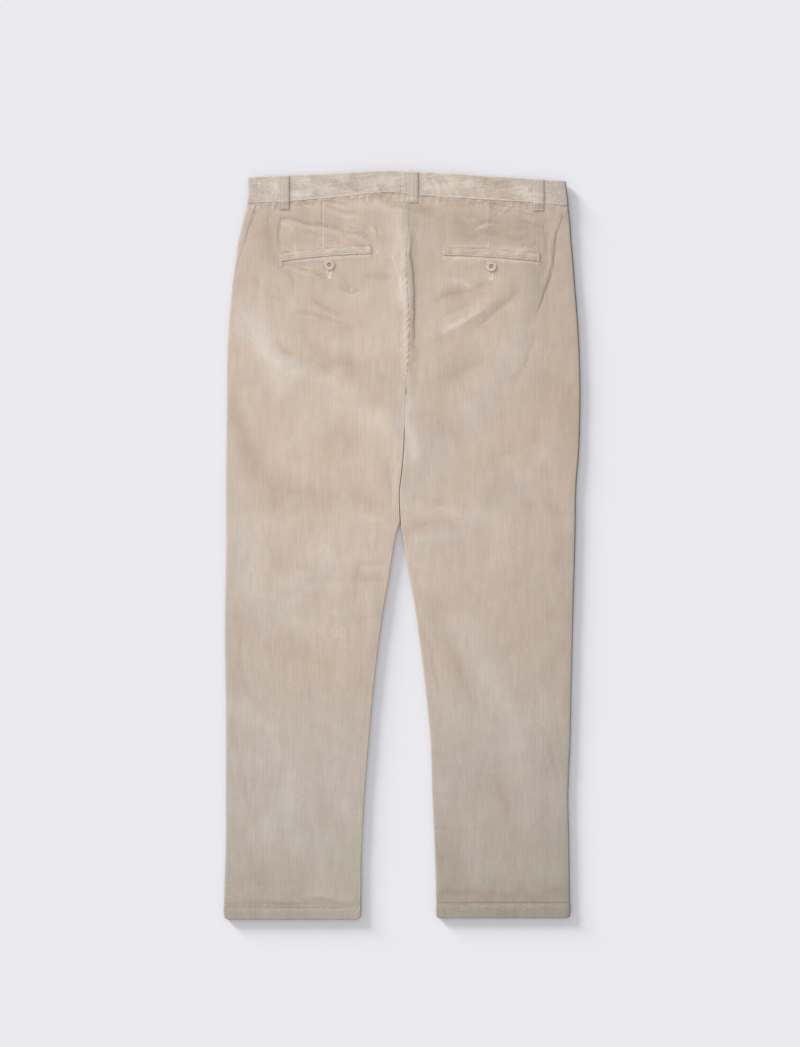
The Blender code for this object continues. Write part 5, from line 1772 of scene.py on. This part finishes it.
def corduroy(cloth):
    """Corduroy: a pile that is paler where brushed and on the cords, with painted shade in its grooves and
    the painted light and shade that its points carry.
    """
    material, tree, shader = new_finish("corduroy_pile")
    if tree is None:
        return material
    place = here(tree)
    cut = add_node(tree, "ShaderNodeUVMap", uv_map="cut")
    tufts = uneven(tree, cut, 1.0, 2.0, (900.0, 520.0, 1.0))
    flecks = maths(tree, "MULTIPLY_ADD", uneven(tree, cut, 1.0, 2.0, (520.0, 260.0, 1.0)), 8.0, -0.6)
    flecks = add_node(tree, "ShaderNodeClamp", {"Value": flecks})
    flecks = maths(tree, "MULTIPLY", flecks, attribute(tree, "worn"))
    # The pile attribute carries painted light and shade on folds, creases and seams as well as the nap and
    # worn marks
    brushed = maths(tree, "MULTIPLY_ADD", attribute(tree, "pile"), 0.34, 0.5)
    layers = (
        (flecks, 0.5),
        (uneven(tree, place, 11.0, 6.0), 0.42),
        (uneven(tree, place, 90.0, 4.0, (1.0, 0.25, 1.0)), 0.34),
        (uneven(tree, cut, 1.0, 3.0, (420.0, 26.0, 1.0)), 0.35),
        (tufts, 0.25),
    )
    for noise, share in layers:
        brushed = maths(tree, "MULTIPLY_ADD", noise, share, brushed)
    colour = between(
        tree, brushed, (0.12, cloth.warm_colour), (0.88, cloth.pale_colour), (0.5, cloth.base_colour)
    )
    # Painted shade in the grooves between the cords, times the painted shade that the points carry, a little
    # paler where worn
    shade = cloth.groove_shade
    lit = maths(tree, "MULTIPLY_ADD", attribute(tree, "cord"), shade, 1.0 - shade)
    worn_pale = maths(tree, "MULTIPLY_ADD", flecks, 0.1, 1.0)
    lit = maths(tree, "MULTIPLY", lit, maths(tree, "MULTIPLY", attribute(tree, "fade"), worn_pale))
    warmth = attribute(tree, "warmth")
    red = maths(tree, "MULTIPLY_ADD", warmth, cloth.warmth_range, 1.0)
    blue = maths(tree, "MULTIPLY_ADD", warmth, -cloth.warmth_range, 1.0)
    along = tree.nodes.new("ShaderNodeSeparateXYZ")
    plug(tree, along, {"Vector": place})
    calves = {"Value": along.outputs["Y"], "From Min": -0.33, "From Max": -0.50}
    calves.update({"To Min": 0.996, "To Max": 1.024})
    green = add_node(tree, "ShaderNodeMapRange", calves, interpolation_type="SMOOTHSTEP")
    green = maths(tree, "MULTIPLY_ADD", uneven(tree, place, 55.0, 2.0), 0.07, green)
    tint = add_node(tree, "ShaderNodeCombineXYZ", {"X": red, "Y": green, "Z": blue})
    tinted = {0: scaled(tree, colour, lit), 1: tint}
    fuzz = maths(tree, "MULTIPLY_ADD", tufts, 1.4, uneven(tree, cut, 1.0, 2.0, (2600.0, 2100.0, 1.0)))
    plug(tree, shader, {
        "Base Color": add_node(tree, "ShaderNodeVectorMath", tinted, operation="MULTIPLY"),
        "Normal": bumped(tree, fuzz, 0.45, 0.0003),
        "Roughness": 0.92,
        "Specular IOR Level": 0.15,
        "Sheen Weight": cloth.sheen,
        "Sheen Roughness": 0.45,
        "Sheen Tint": (0.92, 0.86, 0.80, 1.0),
    })
    return material


def sewing_thread(cloth, title="sewing_thread", paler=1.0):
    """Spun thread: close to the cloth's colour, with a fine twist."""
    material, tree, shader = new_finish(title)
    if tree is None:
        return material
    place = here(tree)
    dye = maths(tree, "MULTIPLY_ADD", uneven(tree, place, 140.0, 2.0), 0.5, 0.5)
    darker = [0.85 * paler * channel for channel in cloth.thread_colour]
    lighter = [paler * channel for channel in cloth.thread_colour]
    plug(tree, shader, {
        "Base Color": between(tree, dye, (0.2, darker), (0.8, lighter)),
        "Normal": bumped(tree, uneven(tree, place, 1900.0, 1.0, (1.0, 0.5, 1.0)), 0.4, 0.0001),
        "Roughness": 0.65,
        "Sheen Weight": 0.2,
    })
    return material


def horn(buttons):
    """Pale horn: cloudy bands of two browns, polished on the rim, with painted shade round the edge of its
    dish.
    """
    material, tree, shader = new_finish("horn")
    if tree is None:
        return material
    place = here(tree)
    mixed = maths(tree, "MULTIPLY_ADD", uneven(tree, place, 260.0, 4.0, (1.0, 0.35, 1.0)), 1.3, 0.5)
    mixed = maths(tree, "MULTIPLY_ADD", uneven(tree, place, 1500.0, 2.0), 0.25, mixed)
    colour = between(tree, mixed, (0.15, buttons.dark_colour), (0.8, buttons.pale_colour))
    # Painted shade round the edge of the dish
    lit = maths(tree, "MULTIPLY_ADD", attribute(tree, "dish"), -0.75, 1.0)
    scratches = uneven(tree, place, 900.0, 3.0, (1.0, 0.2, 1.0))
    plug(tree, shader, {
        "Base Color": scaled(tree, colour, lit),
        "Normal": bumped(tree, scratches, 0.15, 0.0001),
        "Roughness": maths(tree, "MULTIPLY_ADD", scratches, 0.25, 0.42),
        "Coat Weight": 0.15,
    })
    return material


def paper(stage):
    """The plain pale floor."""
    material, tree, shader = new_finish("paper")
    if tree is None:
        return material
    plug(tree, shader, {
        "Base Color": (*stage.floor_colour, 1.0),
        "Normal": bumped(tree, uneven(tree, here(tree), 900.0, 2.0), 0.05, 0.0001),
        "Roughness": 1.0,
        "Specular IOR Level": 0.0,
    })
    return material


# Settings


class ClothSettings(bpy.types.PropertyGroup):
    """Sizes and colours of the corduroy and its thread."""

    wale_pitch: bpy.props.FloatProperty(
        name="Wale pitch", description="Distance from one cord to the next",
        default=0.0029, min=0.0015, max=0.006, subtype="DISTANCE", unit="LENGTH", precision=4,
    )
    wale_depth: bpy.props.FloatProperty(
        name="Wale depth", description="Height of a cord above its grooves",
        default=0.00032, min=0.0, max=0.001, subtype="DISTANCE", unit="LENGTH", precision=5,
    )
    base_colour: bpy.props.FloatVectorProperty(
        name="Cloth", description="Colour of the pile as it lies",
        default=(0.611, 0.508, 0.426), size=3, min=0.0, max=1.0, subtype="COLOR",
    )
    # The ramp from the flattened to the brushed colour also shows the painted light and shade that the pile
    # attribute carries
    pale_colour: bpy.props.FloatVectorProperty(
        name="Brushed", description="Colour where the pile is brushed up",
        default=(0.754, 0.659, 0.573), size=3, min=0.0, max=1.0, subtype="COLOR",
    )
    warm_colour: bpy.props.FloatVectorProperty(
        name="Flattened", description="Colour where the pile lies flat",
        default=(0.478, 0.377, 0.301), size=3, min=0.0, max=1.0, subtype="COLOR",
    )
    # Painted shade in the grooves
    groove_shade: bpy.props.FloatProperty(
        name="Groove shade", description="How much darker the grooves are than the cords",
        default=0.06, min=0.0, max=1.0, subtype="FACTOR",
    )
    warmth_range: bpy.props.FloatProperty(
        name="Warmth range",
        description="How far the warm and grey places differ from the cloth's own colour",
        default=0.055, min=0.0, max=0.3, subtype="FACTOR",
    )
    sheen: bpy.props.FloatProperty(
        name="Sheen", description="Soft gloss of the pile at a glance",
        default=0.25, min=0.0, max=1.0, subtype="FACTOR",
    )
    thread_colour: bpy.props.FloatVectorProperty(
        name="Thread", description="Colour of the sewing",
        default=(0.700, 0.610, 0.525), size=3, min=0.0, max=1.0, subtype="COLOR",
    )


def frame_radius(node):
    """Half the width of one of the frame's round nodes, in metres."""
    low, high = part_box(node)
    return (high.x - low.x) / 2


class ButtonSettings(bpy.types.PropertyGroup):
    """Sizes and colours of the buttons."""

    radius: bpy.props.FloatProperty(
        name="Radius", description="Radius of a pocket button",
        default=frame_radius("pocket_button_left"), subtype="DISTANCE", unit="LENGTH", precision=4,
    )
    waist_radius: bpy.props.FloatProperty(
        name="Waist radius", description="Radius of the waist button",
        default=frame_radius("waist_button"), subtype="DISTANCE", unit="LENGTH", precision=4,
    )
    pale_colour: bpy.props.FloatVectorProperty(
        name="Pale", description="Paler colour of the horn",
        default=(0.690, 0.580, 0.490), size=3, min=0.0, max=1.0, subtype="COLOR",
    )
    dark_colour: bpy.props.FloatVectorProperty(
        name="Dark", description="Darker colour of the horn",
        default=(0.470, 0.365, 0.290), size=3, min=0.0, max=1.0, subtype="COLOR",
    )


class StageSettings(bpy.types.PropertyGroup):
    """The floor, lights and camera."""

    floor_colour: bpy.props.FloatVectorProperty(
        name="Floor", description="Colour of the floor",
        default=(0.836, 0.8274, 0.865), size=3, min=0.0, max=1.0, subtype="COLOR",
    )
    key_strength: bpy.props.FloatProperty(
        name="Key", description="Strength of the soft light from the upper left",
        default=2.31, min=0.0,
    )
    key_elevation: bpy.props.FloatProperty(
        name="Key height", description="Elevation of the soft light's middle",
        default=math.radians(32), subtype="ANGLE", unit="ROTATION",
    )
    key_turn: bpy.props.FloatProperty(
        name="Key turn", description="Direction of the soft light, turned from +X towards +Y",
        default=math.radians(135), subtype="ANGLE", unit="ROTATION",
    )
    key_spread: bpy.props.FloatProperty(
        name="Key spread", description="How wide the soft light looks",
        default=math.radians(42), subtype="ANGLE", unit="ROTATION",
    )
    skim_strength: bpy.props.FloatProperty(
        name="Skim", description="Strength of the low light that draws the shadow on the floor",
        default=5.5, min=0.0,
    )
    skim_elevation: bpy.props.FloatProperty(
        name="Skim height", description="Elevation of the low light's middle",
        default=math.radians(11), subtype="ANGLE", unit="ROTATION",
    )
    skim_spread: bpy.props.FloatProperty(
        name="Skim spread", description="How wide the low light looks",
        default=math.radians(16), subtype="ANGLE", unit="ROTATION",
    )
    fill_strength: bpy.props.FloatProperty(
        name="Fill", description="Strength of the light from all round",
        default=0.66, min=0.0,
    )
    camera_height: bpy.props.FloatProperty(
        name="Camera height", description="Height of the camera above the floor",
        default=3.0, min=0.5, subtype="DISTANCE", unit="LENGTH",
    )
    view_height: bpy.props.FloatProperty(
        name="View height", description="Height of the picture, measured on the floor",
        default=1.477, min=0.1, subtype="DISTANCE", unit="LENGTH",
    )
    view_middle: bpy.props.FloatVectorProperty(
        name="View middle", description="What the camera stands over",
        default=(-0.0028, 0.0310), size=2, subtype="XYZ_LENGTH", unit="LENGTH",
    )


# Operators


def declare(piece, node):
    """A sheet of corduroy that stands for its node: it hangs from the root body, and the node is hidden."""
    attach(piece, "root")
    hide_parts(node)


class TROUSERS_OT_panels(bpy.types.Operator):
    """Make the two fronts and the two backs"""

    bl_idname = "trousers.panels"
    bl_label = "Panels"

    def execute(self, context):
        cloth = context.scene.trousers_cloth
        for side in SIDE:
            for face, under in (("front", []), ("back", [f"front_{side}"])):
                piece, flat, area = make_panel(side, face, cloth)
                declare(piece, f"{face}_{side}")
        return {"FINISHED"}


class TROUSERS_OT_waistband(bpy.types.Operator):
    """Make the two halves of the waistband"""

    bl_idname = "trousers.waistband"
    bl_label = "Waistband"

    def execute(self, context):
        for side in SIDE:
            piece, flat, area = make_waistband(side, context.scene.trousers_cloth)
            declare(piece, f"waistband_{side}")
        return {"FINISHED"}


class TROUSERS_OT_belt_loops(bpy.types.Operator):
    """Make the belt loops"""

    bl_idname = "trousers.belt_loops"
    bl_label = "Belt loops"

    def execute(self, context):
        cloth = context.scene.trousers_cloth
        for loop in BACK_LOOPS:
            piece, flat, area = make_back_loop(loop, cloth)
            declare(piece, loop.node)
        for loop in FRONT_LOOPS:
            piece, flat, area = make_front_loop(loop, cloth)
            declare(piece, loop.node)
        return {"FINISHED"}


class TROUSERS_OT_welts(bpy.types.Operator):
    """Make the welts of the back pockets"""

    bl_idname = "trousers.welts"
    bl_label = "Pocket welts"

    def execute(self, context):
        for side in SIDE:
            piece, flat, area = make_welt(side, context.scene.trousers_cloth)
            declare(piece, f"pocket_welt_{side}")
        return {"FINISHED"}


class TROUSERS_OT_buttons(bpy.types.Operator):
    """Turn the pocket buttons and the waist button"""

    bl_idname = "trousers.buttons"
    bl_label = "Buttons"

    def execute(self, context):
        buttons = context.scene.trousers_buttons
        rows = [(f"pocket_button_{side}", buttons.radius, True) for side in SIDE]
        for node, radius, up in (*rows, ("waist_button", buttons.waist_radius, False)):
            low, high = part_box(node)
            centre = np.array([(low.x + high.x) / 2, (low.y + high.y) / 2, low.z]) / MM
            height = (high.z - low.z) / MM * (BUTTON_SUNK if up else 1.0)
            piece = make_button(f"horn_{node}", centre, radius / MM, height, up, horn(buttons))
            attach(piece, "root")
            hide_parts(node)
        return {"FINISHED"}


class TROUSERS_OT_sewing(bpy.types.Operator):
    """Sew the hems, welts, loops, buttonholes, fly and buttons"""

    bl_idname = "trousers.sewing"
    bl_label = "Sewing"

    def execute(self, context):
        cloth = context.scene.trousers_cloth
        thread = sewing_thread(cloth)
        for sew_part in (sew_welts, sew_loops, sew_seams, sew_buttons):
            sew_part(thread)
        sew_hems(sewing_thread(cloth, "hem_thread", 0.82))
        # The buttonholes' thread is paler: partly the pale stitching itself, partly painted light on threads
        # that shade each other
        sew_buttonholes(sewing_thread(cloth, "buttonhole_twist", 1.22))
        return {"FINISHED"}


class TROUSERS_OT_stage(bpy.types.Operator):
    """Lay the floor, light it and stand the camera over it"""

    bl_idname = "trousers.stage"
    bl_label = "Stage"

    def execute(self, context):
        stage = context.scene.trousers_stage
        scene = context.scene
        mesh = bpy.data.meshes.new("floor")
        corners = ((-FLOOR_REACH, -FLOOR_REACH), (FLOOR_REACH, -FLOOR_REACH))
        corners += ((FLOOR_REACH, FLOOR_REACH), (-FLOOR_REACH, FLOOR_REACH))
        mesh.from_pydata([(x, y, -FLOOR_DROP) for x, y in corners], [], [(0, 1, 2, 3)])
        mesh.materials.append(paper(stage))
        floor = bpy.data.objects.new("floor", mesh)
        scene.collection.objects.link(floor)

        lamps = (
            ("key", stage.key_strength, stage.key_elevation, stage.key_spread, "EXCLUDE"),
            ("skim", stage.skim_strength, stage.skim_elevation, stage.skim_spread, "INCLUDE"),
        )
        for title, strength, elevation, spread, reaches in lamps:
            sun = bpy.data.lights.new(title, "SUN")
            sun.energy = strength
            sun.angle = spread
            lamp = bpy.data.objects.new(title, sun)
            lamp.rotation_euler = (0.0, math.pi / 2 - elevation, stage.key_turn)
            scene.collection.objects.link(lamp)
            lit = bpy.data.collections.new(f"{title}_floor")
            lit.objects.link(floor)
            lamp.light_linking.receiver_collection = lit
            lit.collection_objects[0].light_linking.link_state = reaches

        world = bpy.data.worlds.new("studio")
        world.use_nodes = True
        light = world.node_tree.nodes["Background"]
        light.inputs["Color"].default_value = (1.0, 1.0, 1.0, 1.0)
        light.inputs["Strength"].default_value = stage.fill_strength
        scene.world = world

        camera = bpy.data.cameras.new("camera")
        camera.sensor_width = 36.0
        camera.lens = camera.sensor_width * stage.camera_height / stage.view_height
        camera.clip_end = 100.0
        stand = bpy.data.objects.new("camera", camera)
        stand.location = (*stage.view_middle, stage.camera_height)
        scene.collection.objects.link(stand)
        scene.camera = stand
        scene.view_settings.view_transform = "Standard"
        return {"FINISHED"}


class TROUSERS_PT_panel(bpy.types.Panel):
    """The trousers' pieces and settings in the sidebar"""

    bl_label = "Corduroy trousers"
    bl_idname = "TROUSERS_PT_panel"
    bl_space_type = "VIEW_3D"
    bl_region_type = "UI"
    bl_category = "Trousers"

    def draw(self, context):
        for title, kind in GROUPS.items():
            box = self.layout.box()
            for setting in kind.__annotations__:
                box.prop(getattr(context.scene, title), setting)
        for operator in OPERATORS:
            self.layout.operator(operator.bl_idname)


GROUPS = {
    "trousers_cloth": ClothSettings,
    "trousers_buttons": ButtonSettings,
    "trousers_stage": StageSettings,
}
OPERATORS = (
    TROUSERS_OT_panels,
    TROUSERS_OT_waistband,
    TROUSERS_OT_belt_loops,
    TROUSERS_OT_welts,
    TROUSERS_OT_buttons,
    TROUSERS_OT_sewing,
    TROUSERS_OT_stage,
)


def register():
    for title, group in GROUPS.items():
        bpy.utils.register_class(group)
        setattr(bpy.types.Scene, title, bpy.props.PointerProperty(type=group))
    for kind in (*OPERATORS, TROUSERS_PT_panel):
        bpy.utils.register_class(kind)


def unregister():
    for kind in reversed((*OPERATORS, TROUSERS_PT_panel)):
        bpy.utils.unregister_class(kind)
    for title, group in reversed(GROUPS.items()):
        delattr(bpy.types.Scene, title)
        bpy.utils.unregister_class(group)


def main():
    register()
    bpy.ops.trousers.panels()
    bpy.ops.trousers.waistband()
    bpy.ops.trousers.belt_loops()
    bpy.ops.trousers.welts()
    bpy.ops.trousers.buttons()
    bpy.ops.trousers.sewing()
    bpy.ops.trousers.stage()


if __name__ == "__main__":
    main()
